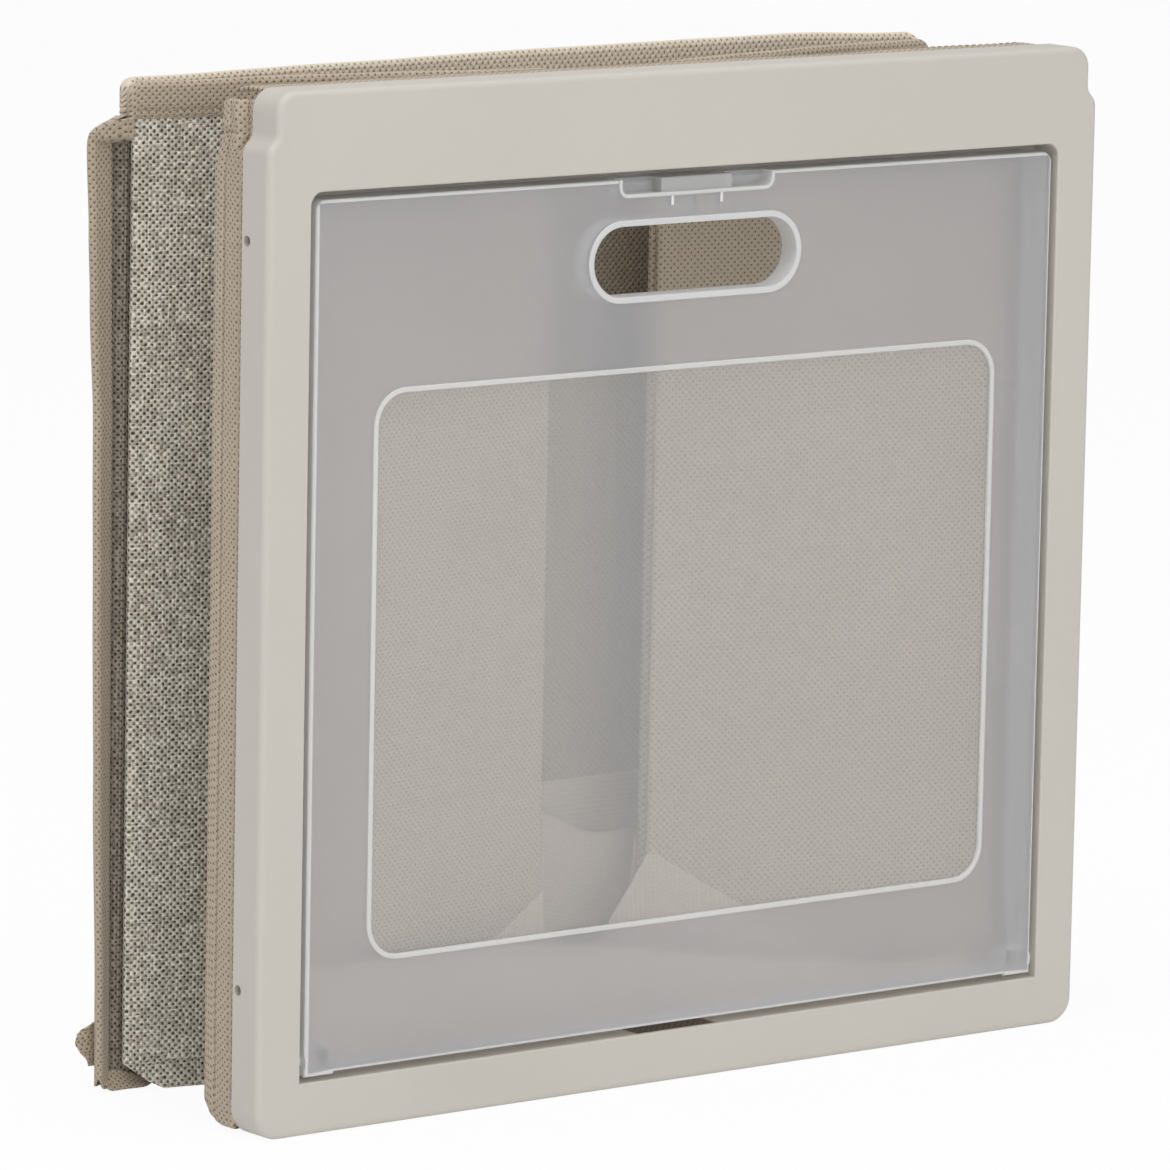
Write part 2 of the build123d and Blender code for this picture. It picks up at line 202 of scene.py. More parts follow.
class Wiring:
    """Adds and joins nodes in one tree."""

    def __init__(self, tree: NodeTree) -> None:
        """Remember the tree that the nodes go into."""
        self.tree = tree

    def feed(self, node: Node, feeds: dict | Sequence) -> None:
        """Join a node's inputs, named or in order, to outputs, or set their own values."""
        for key, value in feeds.items() if isinstance(feeds, dict) else enumerate(feeds):
            if isinstance(value, NodeSocket):
                self.tree.links.new(value, node.inputs[key])
            else:
                node.inputs[key].default_value = value

    def add(self, kind: str, feeds: dict | Sequence = (), **settings: object) -> Node:
        """Add a node, set its properties and feed its inputs."""
        node = self.tree.nodes.new(kind)
        for name, value in settings.items():
            setattr(node, name, value)
        self.feed(node, feeds)
        return node

    def math(self, operation: str, *values: object, clamp: bool = False) -> NodeSocket:
        """Do one step of arithmetic on sockets or numbers."""
        settings = {"operation": operation, "use_clamp": clamp}
        return self.add("ShaderNodeMath", values, **settings).outputs[0]

    def span(self, *values: object) -> NodeSocket:
        """Map a value smoothly from low..high to 0..1, or to start..end if they are given."""
        kind = {"interpolation_type": "SMOOTHSTEP"}
        return self.add("ShaderNodeMapRange", values, **kind).outputs[0]

    def mix(self, factor: object, first: object, second: object) -> NodeSocket:
        """Mix two colours."""
        feeds = {0: factor, 6: first, 7: second}
        return self.add("ShaderNodeMix", feeds, data_type="RGBA").outputs[2]

    def noise(self, vector: object, scale: object, detail: float = 2.0) -> NodeSocket:
        """Read a noise texture's value."""
        feeds = {"Vector": vector, "Scale": scale, "Detail": detail}
        return self.add("ShaderNodeTexNoise", feeds).outputs["Fac"]

    def parts(self, vector: object) -> tuple[NodeSocket, ...]:
        """Split a vector into X, Y and Z."""
        return tuple(self.add("ShaderNodeSeparateXYZ", [vector]).outputs)

    def vector(self, *values: object) -> NodeSocket:
        """Join X, Y and Z into a vector."""
        return self.add("ShaderNodeCombineXYZ", values).outputs[0]

    def group(self, tree: NodeTree, **values: object) -> Sequence[NodeSocket]:
        """Place a node group, feed its named inputs and give its outputs."""
        feeds = {name.replace("_", " "): value for name, value in values.items()}
        return self.add("ShaderNodeGroup", feeds, node_tree=tree).outputs

    def choose(self, output: Node, factor: NodeSocket, first: Node, second: Node) -> None:
        """Show the first shader where a factor is 0, and the second where it is 1."""
        mixed = self.add("ShaderNodeMixShader", (factor, first.outputs[0], second.outputs[0]))
        self.feed(output, {"Surface": mixed.outputs[0]})


def new_group(
    name: str,
    inputs: dict[str, object],
    outputs: Sequence[str],
    made: str = "Float",
    kind: str = "Shader",
) -> tuple[NodeTree, Wiring, Sequence[NodeSocket], Node]:
    """Start a node group with named sockets.

    Args:
        name: The group's name.
        inputs: Each input's name, with a number's starting value or else the socket's type.
        outputs: The outputs' names.
        made: The outputs' type.
        kind: The kind of node tree.

    Returns:
        The tree, its wiring, the sockets of its inputs, and its output node.
    """
    tree = bpy.data.node_groups.new(name, f"{kind}NodeTree")
    for label, value in inputs.items():
        typed = value if isinstance(value, str) else "Float"
        socket = tree.interface.new_socket(label, in_out="INPUT", socket_type=f"NodeSocket{typed}")
        if typed == "Float":
            socket.default_value = value
    for label in outputs:
        tree.interface.new_socket(label, in_out="OUTPUT", socket_type=f"NodeSocket{made}")
    w = Wiring(tree)
    return tree, w, w.add("NodeGroupInput").outputs, w.add("NodeGroupOutput")


def dot_weave_group() -> NodeTree:
    """Build the staggered dots that both cloths show: the gaps of a coarse weave or an emboss.

    Returns:
        A group that gives Hole and Ridge masks, a Thread value that differs from cell to cell,
        and a Slub mask of thicker lengths of thread that run along and up the cloth.
    """
    drift_scale, slub_scale, slub_reach = 260.0, 95.0, 9.0
    numbers = {"Pitch": 0.0028, "Hole Low": 0.3, "Hole High": 0.8, "Wander": 0.1}
    outputs = ("Hole", "Ridge", "Thread", "Slub")
    tree, w, source, sink = new_group("Dot weave", {"Vector": "Vector", **numbers}, outputs)
    place, pitch, low, high, wander = list(source)[:5]
    x, y, _ = w.parts(place)
    drift = w.math("MULTIPLY", w.math("SUBTRACT", w.noise(place, drift_scale), 0.5), wander)
    across = w.math("ADD", w.math("DIVIDE", x, pitch), drift)
    up = w.math("SUBTRACT", w.math("DIVIDE", y, pitch), drift)
    waves = [w.math("COSINE", w.math("MULTIPLY", value, math.tau)) for value in (across, up)]
    lattice = w.math("MULTIPLY", *waves)
    doubled = [w.math("MULTIPLY", value, 2.0) for value in (across, up)]
    cells = [w.math("FLOOR", w.math("ADD", value, 0.5)) for value in doubled]
    speck = w.add("ShaderNodeTexWhiteNoise", {"Vector": w.vector(*cells)}, noise_dimensions="2D")
    slubs = [
        w.noise(w.vector(w.math("MULTIPLY", x, a), w.math("MULTIPLY", y, b)), slub_scale, 1.0)
        for a, b in ((1.0, slub_reach), (slub_reach, 1.0))
    ]
    masks = {
        "Hole": w.span(lattice, low, high),
        "Ridge": w.math("MULTIPLY_ADD", lattice, -0.5, 0.5),
        "Thread": speck.outputs["Value"],
        "Slub": w.span(w.math("MAXIMUM", *slubs), 0.5, 0.74),
    }
    w.feed(sink, masks)
    return tree


def surface_grain_group() -> NodeTree:
    """Build the faint cloud and grain that moulded and cloth surfaces share.

    Returns:
        A group that gives a slow Cloud and a fine Grain, both from 0 to 1.
    """
    inputs = {"Vector": "Vector", "Cloud Scale": 18.0, "Grain Scale": 1500.0}
    tree, w, source, sink = new_group("Surface grain", inputs, ("Cloud", "Grain"))
    for label, detail in (("Cloud", 3.0), ("Grain", 2.0)):
        w.feed(sink, {label: w.noise(source["Vector"], source[f"{label} Scale"], detail)})
    return tree


@dataclass
class Groups:
    """The node groups that several finishes use, built once."""

    weave: NodeTree = field(default_factory=dot_weave_group)
    grain: NodeTree = field(default_factory=surface_grain_group)


class Draft(Wiring):
    """A material in the making, with a Principled shader on its output."""

    def __init__(self, name: str) -> None:
        """Start an empty node material."""
        self.material = bpy.data.materials.new(name)
        self.material.use_nodes = True
        self.material.node_tree.nodes.clear()
        super().__init__(self.material.node_tree)
        self.shader = self.add("ShaderNodeBsdfPrincipled")
        self.output = self.add("ShaderNodeOutputMaterial", {"Surface": self.shader.outputs[0]})

    def lay_grain(self, groups: Groups, cloud: float, grain: float, cloth: bool = True) -> None:
        """Lay the cloud and grain, of these scales, on the cloth or else in the piece."""
        if cloth:
            self.place = self.add("ShaderNodeUVMap", uv_map="cloth").outputs[0]
        else:
            self.place = self.add("ShaderNodeTexCoord").outputs["Object"]
        scales = {"Cloud_Scale": cloud, "Grain_Scale": grain}
        self.cloud, self.grain = self.group(groups.grain, Vector=self.place, **scales)

    def finish(self, color: object, rough: object, relief: tuple, **more: object) -> Material:
        """Feed the shader.

        Args:
            color: The base colour.
            rough: The roughness.
            relief: The bump's height, how deep a height of 1 is, and the bump's strength.
            **more: Further inputs of the shader.

        Returns:
            The finished material.
        """
        bump = self.add("ShaderNodeBump", dict(zip(("Height", "Distance", "Strength"), relief)))
        feeds = {"Base_Color": color, "Roughness": rough, "Normal": bump.outputs[0], **more}
        self.feed(self.shader, {name.replace("_", " "): value for name, value in feeds.items()})
        return self.material


@dataclass(frozen=True)
class MouldedPlastic:
    """Opaque moulded plastic with a fine satin grain."""

    name: str
    color: Shade
    roughness: float = 0.5
    grain: float = 0.12

    def build(self, groups: Groups) -> Material:
        """Make the material."""
        d = Draft(self.name)
        d.lay_grain(groups, 14.0, 1300.0, cloth=False)
        base = srgb(*self.color)
        tone = d.math("MULTIPLY_ADD", d.grain, 0.3, d.math("MULTIPLY", d.cloud, 0.7))
        color = d.mix(tone, scaled(base, 0.95), scaled(base, 1.05))
        rough = d.span(d.cloud, 0.2, 0.8, self.roughness - 0.05, self.roughness + 0.06)
        return d.finish(color, rough, (d.grain, 0.0002, self.grain))


@dataclass(frozen=True)
class FrostedPlastic:
    """Translucent plastic: part of the light goes through it and the rest makes it milky.

    Attributes:
        name: The material's name.
        color: The milky colour.
        clear: The share of light that goes through each surface.
        roughness: How much a surface blurs what is seen through it.
        cloud: How much the milkiness changes from place to place.
    """

    name: str
    color: Shade
    clear: float
    roughness: float
    cloud: float = 0.05

    def build(self, groups: Groups) -> Material:
        """Make the material. Lamps shine through it, as they do through thin plastic."""
        d = Draft(self.name)
        d.lay_grain(groups, 11.0, 900.0, cloth=False)
        base = srgb(*self.color)
        color = d.mix(d.cloud, scaled(base, 1 - self.cloud), base)
        rough = d.math("MULTIPLY_ADD", d.grain, 0.03, self.roughness)
        passed = min(1.0, self.clear + 0.1)
        through = d.add("ShaderNodeBsdfTransparent", {"Color": (passed, passed, passed, 1.0)})
        shadow = d.add("ShaderNodeLightPath").outputs["Is Shadow Ray"]
        d.choose(d.output, shadow, d.shader, through)
        glass = {"Transmission_Weight": self.clear, "IOR": 1.3, "Specular_IOR_Level": 0.35}
        return d.finish(color, rough, (d.grain, 0.0001, 0.06), **glass)


@dataclass(frozen=True)
class DottedCloth:
    """Woven or embossed cloth with staggered dots, laid on a piece's own cloth coordinates.

    A dot starts at hole_low and is full at hole_high, so higher values make it smaller. Wander
    is how far the dots stray from straight rows, and slub how much lighter the slubs are.
    """

    name: str
    light: Shade
    dark: Shade
    hole: Shade
    pitch: float = 0.0028
    hole_low: float = 0.3
    hole_high: float = 0.85
    depth: float = 0.0004
    strength: float = 0.7
    contrast: float = 1.0
    wander: float = 0.35
    slub: float = 0.0

    def build(self, groups: Groups) -> Material:
        """Make the material."""
        d = Draft(self.name)
        d.lay_grain(groups, 22.0, 1700.0)
        dots = {"Pitch": self.pitch, "Hole_Low": self.hole_low, "Hole_High": self.hole_high}
        dots |= {"Vector": d.place, "Wander": self.wander}
        hole, ridge, thread, slub = d.group(groups.weave, **dots)
        fine = d.math("MULTIPLY", d.grain, 0.45)
        mottle = d.math("MULTIPLY_ADD", thread, 0.55 * self.contrast, fine)
        patches = d.math("MULTIPLY", d.math("SUBTRACT", d.cloud, 0.5), 0.5)
        mottle = d.math("ADD", mottle, patches, clamp=True)
        slub = d.math("MULTIPLY", slub, self.slub)
        tone = d.math("SUBTRACT", mottle, slub, clamp=True)
        fade = d.math("MULTIPLY", hole, d.math("MULTIPLY_ADD", d.grain, 0.5, 0.68), clamp=True)
        covered = d.math("SUBTRACT", 1.0, d.math("MULTIPLY", slub, 0.8))
        fade = d.math("MULTIPLY", fade, covered, clamp=True)
        color = d.mix(fade, d.mix(tone, srgb(*self.light), srgb(*self.dark)), srgb(*self.hole))
        height = d.math("MULTIPLY_ADD", d.grain, 0.35, d.math("SUBTRACT", ridge, hole))
        rough = d.span(d.grain, 0.2, 0.8, 0.82, 0.96)
        return d.finish(color, rough, (height, self.depth, self.strength), Sheen_Weight=0.15)


@dataclass(frozen=True)
class RibbedCloth:
    """The soft floor cloth: a fine waffle of crossing ribs."""

    name: str
    color: Shade
    shade: Shade
    pitch: float = 0.0019

    def build(self, groups: Groups) -> Material:
        """Make the material."""
        d = Draft(self.name)
        d.lay_grain(groups, 30.0, 1600.0)
        turns = [d.math("MULTIPLY", value, math.tau / self.pitch) for value in d.parts(d.place)[:2]]
        ribs = [d.math("COSINE", value) for value in turns]
        height = d.math("MULTIPLY_ADD", d.math("ADD", *ribs), 0.25, 0.5)
        tone = d.math("MULTIPLY_ADD", d.grain, 0.5, d.math("MULTIPLY", height, 0.5), clamp=True)
        color = d.mix(tone, srgb(*self.shade), srgb(*self.color))
        rough = d.span(d.grain, 0.2, 0.8, 0.85, 0.97)
        return d.finish(color, rough, (height, 0.0002, 0.5), Sheen_Weight=0.15)


@dataclass(frozen=True)
class PlainFibre:
    """Thread or pressed board: one colour with short fibres in it."""

    name: str
    color: Shade
    shade: Shade
    scale: float = 1500.0

    def build(self, groups: Groups) -> Material:
        """Make the material."""
        d = Draft(self.name)
        d.lay_grain(groups, 60.0, self.scale, cloth=False)
        color = d.mix(d.grain, srgb(*self.shade), srgb(*self.color))
        return d.finish(color, d.span(d.cloud, 0.2, 0.8, 0.75, 0.92), (d.grain, 0.0002, 0.4))


WOVEN = {"hole_low": 0.16, "hole_high": 0.72, "wander": 0.5, "slub": 0.6}
EMBOSSED = {"hole_low": 0.4, "hole_high": 0.95, "wander": 0.25}
LINED = {"hole_low": 0.45, "hole_high": 0.95, "depth": 0.0003, "wander": 0.1}


class Finish(Enum):
    """Every finish on the box."""

    FRAME = MouldedPlastic("Greige frame plastic", (203, 197, 188))
    RETAINER = MouldedPlastic("Retainer plastic", (186, 181, 172), 0.6)
    PANEL = FrostedPlastic("Frosted door panel", (230, 230, 233), 0.7, 0.38, 0.1)
    PANE = FrostedPlastic("Clearer door window", (242, 241, 240), 0.8, 0.04)
    RIM = FrostedPlastic("Thick door rim", (240, 240, 239), 0.3, 0.4)
    RIB = FrostedPlastic("Rib behind the door", (248, 248, 247), 0.15, 0.4)
    LATCH = FrostedPlastic("Latch plastic", (238, 237, 234), 0.55, 0.45)
    BOARD = PlainFibre("Pressed board", (158, 140, 114), (120, 104, 82), 500.0)
    LINEN = DottedCloth(
        "Linen weave", (252, 245, 230), (158, 148, 131), (52, 46, 37),
        depth=0.0006, strength=0.9, **WOVEN,
    )
    # Painted shade: a darker copy of the linen, for the valley behind a rear corner's roll.
    VALLEY = DottedCloth(
        "Shaded linen weave", (168, 160, 146), (108, 100, 88), (34, 30, 24), **WOVEN
    )
    TRIM = DottedCloth(
        "Embossed trim", (196, 181, 161), (168, 152, 131), (102, 86, 67), contrast=0.5, **EMBOSSED
    )
    # Painted light: a lighter copy of the trim, for the back's bound top edge.
    BAND = DottedCloth(
        "Lit trim", (232, 219, 199), (204, 189, 168), (136, 120, 99), contrast=0.45, **EMBOSSED
    )
    LINING = DottedCloth(
        "Embossed lining", (200, 187, 168), (183, 169, 149), (118, 101, 81), contrast=0.4, **LINED
    )
    # Painted shade: a darker copy of the lining, for the back deep inside the box.
    DEEP = DottedCloth(
        "Deep lining", (176, 164, 147), (160, 147, 129), (98, 83, 66), contrast=0.5, **LINED
    )
    FLOOR = RibbedCloth("Ribbed floor cloth", (228, 215, 201), (186, 171, 155))
    # Painted shade: the trim cloth darkened for the sill's slot, where shade falls.
    SLOT = DottedCloth(
        "Dark slot cloth", (122, 104, 84), (98, 82, 64), (58, 46, 34), depth=0.0003, contrast=0.5
    )
    THREAD = PlainFibre("Sewing thread", (182, 167, 146), (150, 134, 112))


# Cloth meshes


class Ply(Enum):
    """A kind of cloth: its thickness, and its rims at the ends of its width and height."""

    WALL = (0.0008, (0.0004,) * 4)
    TRIM = (0.0009, (0.0004,) * 4)
    HEM = (0.0018, (0.0009,) * 4)
    ROLLED = (0.0017, (0.0008,) * 4)
    BOUND = (0.0045, (0.002, 0.002, 0.0007, 0.0021))
    GUSSET = (0.0007, (0.0003,) * 4)
    SOFT = (0.0006, (0.0003,) * 4)


@dataclass
class ClothForm:
    """A thin closed cloth form, laid out on a grid and rounded at its rims.

    Attributes:
        name: The piece's name.
        width: Its cloth width, along the first coordinate.
        height: Its cloth height, along the second coordinate.
        middle: Gives the middle of the cloth's thickness at a (width, height) place.
        ply: Its thickness and the radii of its rims.
        step: The grid's coarse step.
        fullness: Gives a share of the thickness at a place, such as less along a seam.
        rows: Further places up the cloth where the grid has a line.
        columns: Further places across the cloth where the grid has a line.
        laid: Gives the cloth coordinates that the weave follows at a (width, height) place.
    """

    name: str
    width: float
    height: float
    middle: Callable[[float, float], Vector]
    ply: Ply
    step: float = 0.006
    fullness: Callable[[float, float], float] = lambda u, v: 1.0
    rows: Sequence[float] = ()
    columns: Sequence[float] = ()
    laid: Callable[[float, float], Spot] = lambda u, v: (u, v)

    def lines(self, length: float, rims: Spot, extra: Sequence[float]) -> list[float]:
        """Choose the grid's places along one coordinate, closer together at the rims."""
        first, last = rims
        inside = length - first - last
        count = max(1, math.ceil(inside / self.step))
        marks = [first + inside * index / count for index in range(count + 1)]
        for share in (0.0, 0.12, 0.35, 0.7, 1.0):
            marks += [first * share, length - last * share]
        kept: list[float] = []
        for mark in sorted({round(mark, 6) for mark in (*marks, *extra)}):
            if not kept or mark - kept[-1] > 0.00004:
                kept.append(mark)
        return kept

    def swell(self, u: float, v: float) -> float:
        """Half the thickness at a place: full inside, rounded off to nothing at the rims."""
        thickness, rims = self.ply.value
        value = 0.5 * thickness * self.fullness(u, v)
        for distance, rim in zip((u, self.width - u, v, self.height - v), rims):
            gap = 1 - min(max(distance / rim, 0.0), 1.0)
            value *= math.sqrt(max(0.0, 1 - gap * gap))
        return value

    def normal(self, u: float, v: float) -> Vector:
        """The way the cloth's front looks at a place."""
        reach = 0.0004
        ends_u = (min(u + reach, self.width), max(u - reach, 0.0))
        ends_v = (min(v + reach, self.height), max(v - reach, 0.0))
        across = self.middle(ends_u[0], v) - self.middle(ends_u[1], v)
        up = self.middle(u, ends_v[0]) - self.middle(u, ends_v[1])
        return across.cross(up).normalized()

    def build(self, material: Material) -> Object:
        """Make the mesh object with its cloth coordinates and material."""
        rims = self.ply.value[1]
        columns = self.lines(self.width, rims[:2], self.columns)
        rows = self.lines(self.height, rims[2:], self.rows)
        last = (len(columns) - 1, len(rows) - 1)
        points: list[Vector] = []
        front: dict[tuple[int, int], int] = {}
        back: dict[tuple[int, int], int] = {}
        for i, u in enumerate(columns):
            for j, v in enumerate(rows):
                spot = self.middle(u, v)
                front[i, j] = back[i, j] = len(points)
                if i in (0, last[0]) or j in (0, last[1]):
                    points.append(spot)
                    continue
                offset = self.normal(u, v) * self.swell(u, v)
                back[i, j] += 1
                points += [spot + offset, spot - offset]
        faces: list[tuple[int, ...]] = []
        places: list[Spot] = []
        for i in range(last[0]):
            for j in range(last[1]):
                corners = ((i, j), (i + 1, j), (i + 1, j + 1), (i, j + 1))
                for layer, order in ((front, corners), (back, corners[::-1])):
                    faces.append(tuple(layer[corner] for corner in order))
                    places += [self.laid(columns[a], rows[b]) for a, b in order]
        mesh = bpy.data.meshes.new(self.name)
        mesh.from_pydata(points, [], faces)
        for item, place in zip(mesh.uv_layers.new(name="cloth").data, places):
            item.uv = place
        mesh.polygons.foreach_set("use_smooth", [True] * len(mesh.polygons))
        mesh.materials.append(material)
        mesh.update()
        return stand(self.name, mesh)


# Stitches


def stitch_tree(material: Material) -> NodeTree:
    """Build the tree that sews evenly spaced stitches along drawn seam lines.

    Args:
        material: The thread's finish.

    Returns:
        A geometry tree with Pitch, Length and Radius inputs.
    """
    inputs = {"Seams": "Geometry", "Pitch": 0.0034, "Length": 0.0026, "Radius": 0.00035}
    tree, w, source, sink = new_group("Stitch rows", inputs, ["Stitches"], "Geometry", "Geometry")
    seams, pitch, length, radius = list(source)[:4]
    curve = w.add("GeometryNodeMeshToCurve", {"Mesh": seams}).outputs[0]
    spaced = w.add("GeometryNodeResampleCurve", mode="LENGTH")
    w.feed(spaced, {"Curve": curve, "Length": pitch})
    bead = w.add("GeometryNodeMeshUVSphere", {"Segments": 6, "Rings": 5}).outputs["Mesh"]
    turn = w.add("FunctionNodeAlignEulerToVector", axis="Z")
    w.feed(turn, {"Vector": w.add("GeometryNodeInputTangent").outputs[0]})
    sown = {
        "Points": spaced.outputs[0],
        "Instance": w.add("GeometryNodeSetShadeSmooth", {"Geometry": bead}).outputs[0],
        "Rotation": turn.outputs[0],
        "Scale": w.vector(radius, radius, w.math("MULTIPLY", length, 0.5)),
    }
    beads = w.add("GeometryNodeInstanceOnPoints", sown).outputs[0]
    real = w.add("GeometryNodeRealizeInstances", [beads]).outputs[0]
    dressed = w.add("GeometryNodeSetMaterial", {"Geometry": real, "Material": material})
    w.feed(sink, [dressed.outputs[0]])
    return tree


@dataclass
class Stitching:
    """Collects seam lines for each body and sews them with one geometry tree."""

    tree: NodeTree
    pitch: float = 0.0034
    seams: dict[str, list[list[Vector]]] = field(default_factory=dict)

    def draw(self, body: str, line: Sequence[Vector]) -> None:
        """Add a seam line to a body."""
        self.seams.setdefault(body, []).append(list(line))

    def sew(self, body: str) -> Object:
        """Turn a body's seam lines into one plain mesh of stitches that rides on it."""
        points: list[Vector] = []
        edges: list[tuple[int, int]] = []
        for line in self.seams[body]:
            first = len(points)
            edges += [(first + i, first + i + 1) for i in range(len(line) - 1)]
            points += line
        mesh = bpy.data.meshes.new("seam_lines")
        mesh.from_pydata(points, edges, [])
        draft = stand("seam_lines", mesh)
        modifier = draft.modifiers.new("Stitch rows", "NODES")
        modifier.node_group = self.tree
        items = self.tree.interface.items_tree
        modifier[next(item.identifier for item in items if item.name == "Pitch")] = self.pitch
        bpy.context.view_layer.update()
        graph = bpy.context.evaluated_depsgraph_get()
        sewn = bpy.data.meshes.new_from_object(draft.evaluated_get(graph))
        bpy.data.objects.remove(draft)
        piece = stand(f"{body}_stitches", sewn)
        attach(piece, body)
        return piece

    def finish(self) -> None:
        """Sew every body's seams."""
        for body in sorted(self.seams):
            piece = self.sew(body)
            LOG.info("%s: %d faces", piece.name, len(piece.data.polygons))


# The folded plan


@dataclass(frozen=True)
class Plan:
    """The folded box seen from above, with the sizes that its cloth follows."""

    front_y: float = -0.052681
    lean: float = math.radians(12.5)
    hinge: Spot = (0.1902, 0.022)
    crease: Spot = (0.025694, 0.05847)
    back_half: float = 0.188997
    back_depth: float = 0.100562
    thickness: float = 0.0036
    lengths: Spot = (0.1685, 0.1653)
    end_gap: float = 0.0005
    bottom: float = 0.0004
    band_bottom: float = 0.362
    band_lap: float = 0.0008
    top: float = 0.376
    board_bottom: float = 0.013
    chamfer: float = 0.0135
    chamfer_rise: float = 0.72
    floor: float = 0.0019

    def point(self, x: float, depth: float, z: float) -> Vector:
        """Place a point by its X, its depth behind the frame's front and its height."""
        return Vector((x, self.front_y + depth, z))

    def corner_point(self, side: Side, out: float, depth: float, z: float) -> Vector:
        """Place a point by its distances out past the back's end and behind the back's face."""
        return self.point(side.value * (self.back_half + out), self.back_depth + depth, z)

    def wall_point(self, side: Side, half: Half, along: float, z: float, inward: float) -> Vector:
        """Place a point on a half wall.

        Args:
            side: Which side of the box.
            half: Which half of the wall.
            along: The distance from the end of the half's board, at its outer face.
            z: The height.
            inward: The distance inward from the outer face.

        Returns:
            The point in the row frame.
        """
        run, lean = math.cos(self.lean), math.sin(self.lean)
        if half is Half.FRONT:
            start, step, inner = self.hinge, (-run, lean), (-lean, -run)
        else:
            start, step, inner = self.crease, (run, lean), (-lean, run)
        along += self.end_gap
        x, depth = (a + b * along + c * inward for a, b, c in zip(start, step, inner))
        return self.point(side.value * x, depth, z)

    def length(self, half: Half) -> float:
        """The length of a half wall between its end gaps."""
        return self.lengths[0 if half is Half.FRONT else 1] - 2 * self.end_gap

    @property
    def band_height(self) -> float:
        """The height of a bound top edge, with its lap over the linen."""
        return self.top - self.band_bottom + self.band_lap

    def band_z(self, v: float, lift: float) -> float:
        """The height of a place on a bound top edge whose upper edge is lifted."""
        return self.band_bottom - self.band_lap + v + lift * v / self.band_height


# Sub-assemblies


@dataclass
class SubAssembly:
    """What every sub-assembly is built from, and how its pieces join the box."""

    plan: Plan
    nodes: dict[str, Object]
    palette: dict[Finish, Material]
    stitching: Stitching

    def settle(self, piece: Object, body: str, slot: str, *nodes: str) -> Object:
        """Ride a finished piece on its body and let it stand for CAD nodes."""
        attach(piece, body)
        if nodes:
            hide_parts(*nodes)
        LOG.info("%s: %d faces on %s", piece.name, len(piece.data.polygons), body)
        return piece

    def lay(
        self,
        form: ClothForm,
        finish: Finish,
        body: str,
        slot: str,
        *nodes: str,
        held: str = "",
        area: float | None = 0.0,
    ) -> Object:
        """Build a cloth form and settle it. For a sheet, an area of 0 is replaced by the measured
        area of its cut, which goes no further.

        Args:
            form: The cloth form.
            finish: Its finish.
            body: The CAD body that it rides on.
            slot: The record's material slot. It is not used.
            *nodes: The CAD nodes that it stands for.
            held: How the sheet is held. Empty if it isn't a sheet.
            area: The area of its cut, 0 to measure it, or None for a plain rectangle.

        Returns:
            The piece.
        """
        piece = self.settle(form.build(self.palette[finish]), body, slot, *nodes)
        if held:
            whole = form.width * form.height
            if area == 0.0:
                faces = 0.5 * sum(polygon.area for polygon in piece.data.polygons)
                area = min(max(faces, 0.3 * whole), whole)
        return piece

    def bind(
        self,
        label: str,
        wide: float,
        middle: Callable[..., Vector],
        finish: Finish,
        body: str,
        step: float,
        count: int,
        corner: Callable[[float], float] = lambda u: 0.0,
    ) -> None:
        """Build a bound top edge with two rows of stitches on each face.

        Args:
            label: The first words of the piece's name and its CAD node's.
            wide: Its length.
            middle: Gives its middle, or a point a distance behind that, at a place.
            finish: Its finish.
            body: The CAD body that it rides on.
            step: The grid's coarse step.
            count: How many parts each row of stitches is drawn with.
            corner: Gives how far it is on its way round a corner, where it is fuller.
        """
        seams, face, drawn_in, fuller = (0.0012, 0.0038), 0.00205, 0.16, 0.36

        def fullness(u: float, v: float) -> float:
            """Draw the band in along its two seams."""
            drawn = drawn_in * sum(peak(v, seam, 0.0007) for seam in seams)
            return 1.0 - drawn + fuller * corner(u)

        form = ClothForm(
            f"{label}_bound_edge", wide, self.plan.band_height, middle, Ply.BOUND, step, fullness,
            rows=steps(0.0006, 1, 8), columns=both_ends(steps(0.001, 2, 6), wide),
        )
        self.lay(form, finish, body, "binding_cloth", f"{label}_top_band")
        for seam in seams:
            for out in (-face, face):
                row = [middle(wide * i / count, seam, out) for i in range(1, count)]
                self.stitching.draw(body, row)

    def dress(self, node: str, finish: Finish) -> None:
        """Give a CAD node that stays in view its finish."""
        materials = self.nodes[node].data.materials
        materials.clear()
        materials.append(self.palette[finish])
        LOG.info("%s: CAD node dressed", node)


class FrontFrame(SubAssembly):
    """The moulded frame, the ring that holds the cloth in it, and the slot in its sill."""

    def build_slot_cloth(self) -> None:
        """Build the cloth that shows in the finger slot of the sill, darkened as painted shade."""
        wide, deep = 0.0376, 0.0134

        def middle(u: float, v: float) -> Vector:
            """The middle of the cloth, a little sunk towards its front."""
            sunk = 0.0006 * smooth(0.003, 0.0, v)
            return self.plan.point(u - wide / 2, 0.0023 + v, 0.0187 - sunk)

        form = ClothForm("sill_slot_cloth", wide, deep, middle, Ply.WALL, step=0.003)
        self.lay(form, Finish.SLOT, "frame", "binding_cloth")

    def build(self) -> None:
        """Finish the frame's nodes and line its slot."""
        self.dress("front_frame", Finish.FRAME)
        self.dress("fabric_retainer", Finish.RETAINER)
        self.build_slot_cloth()


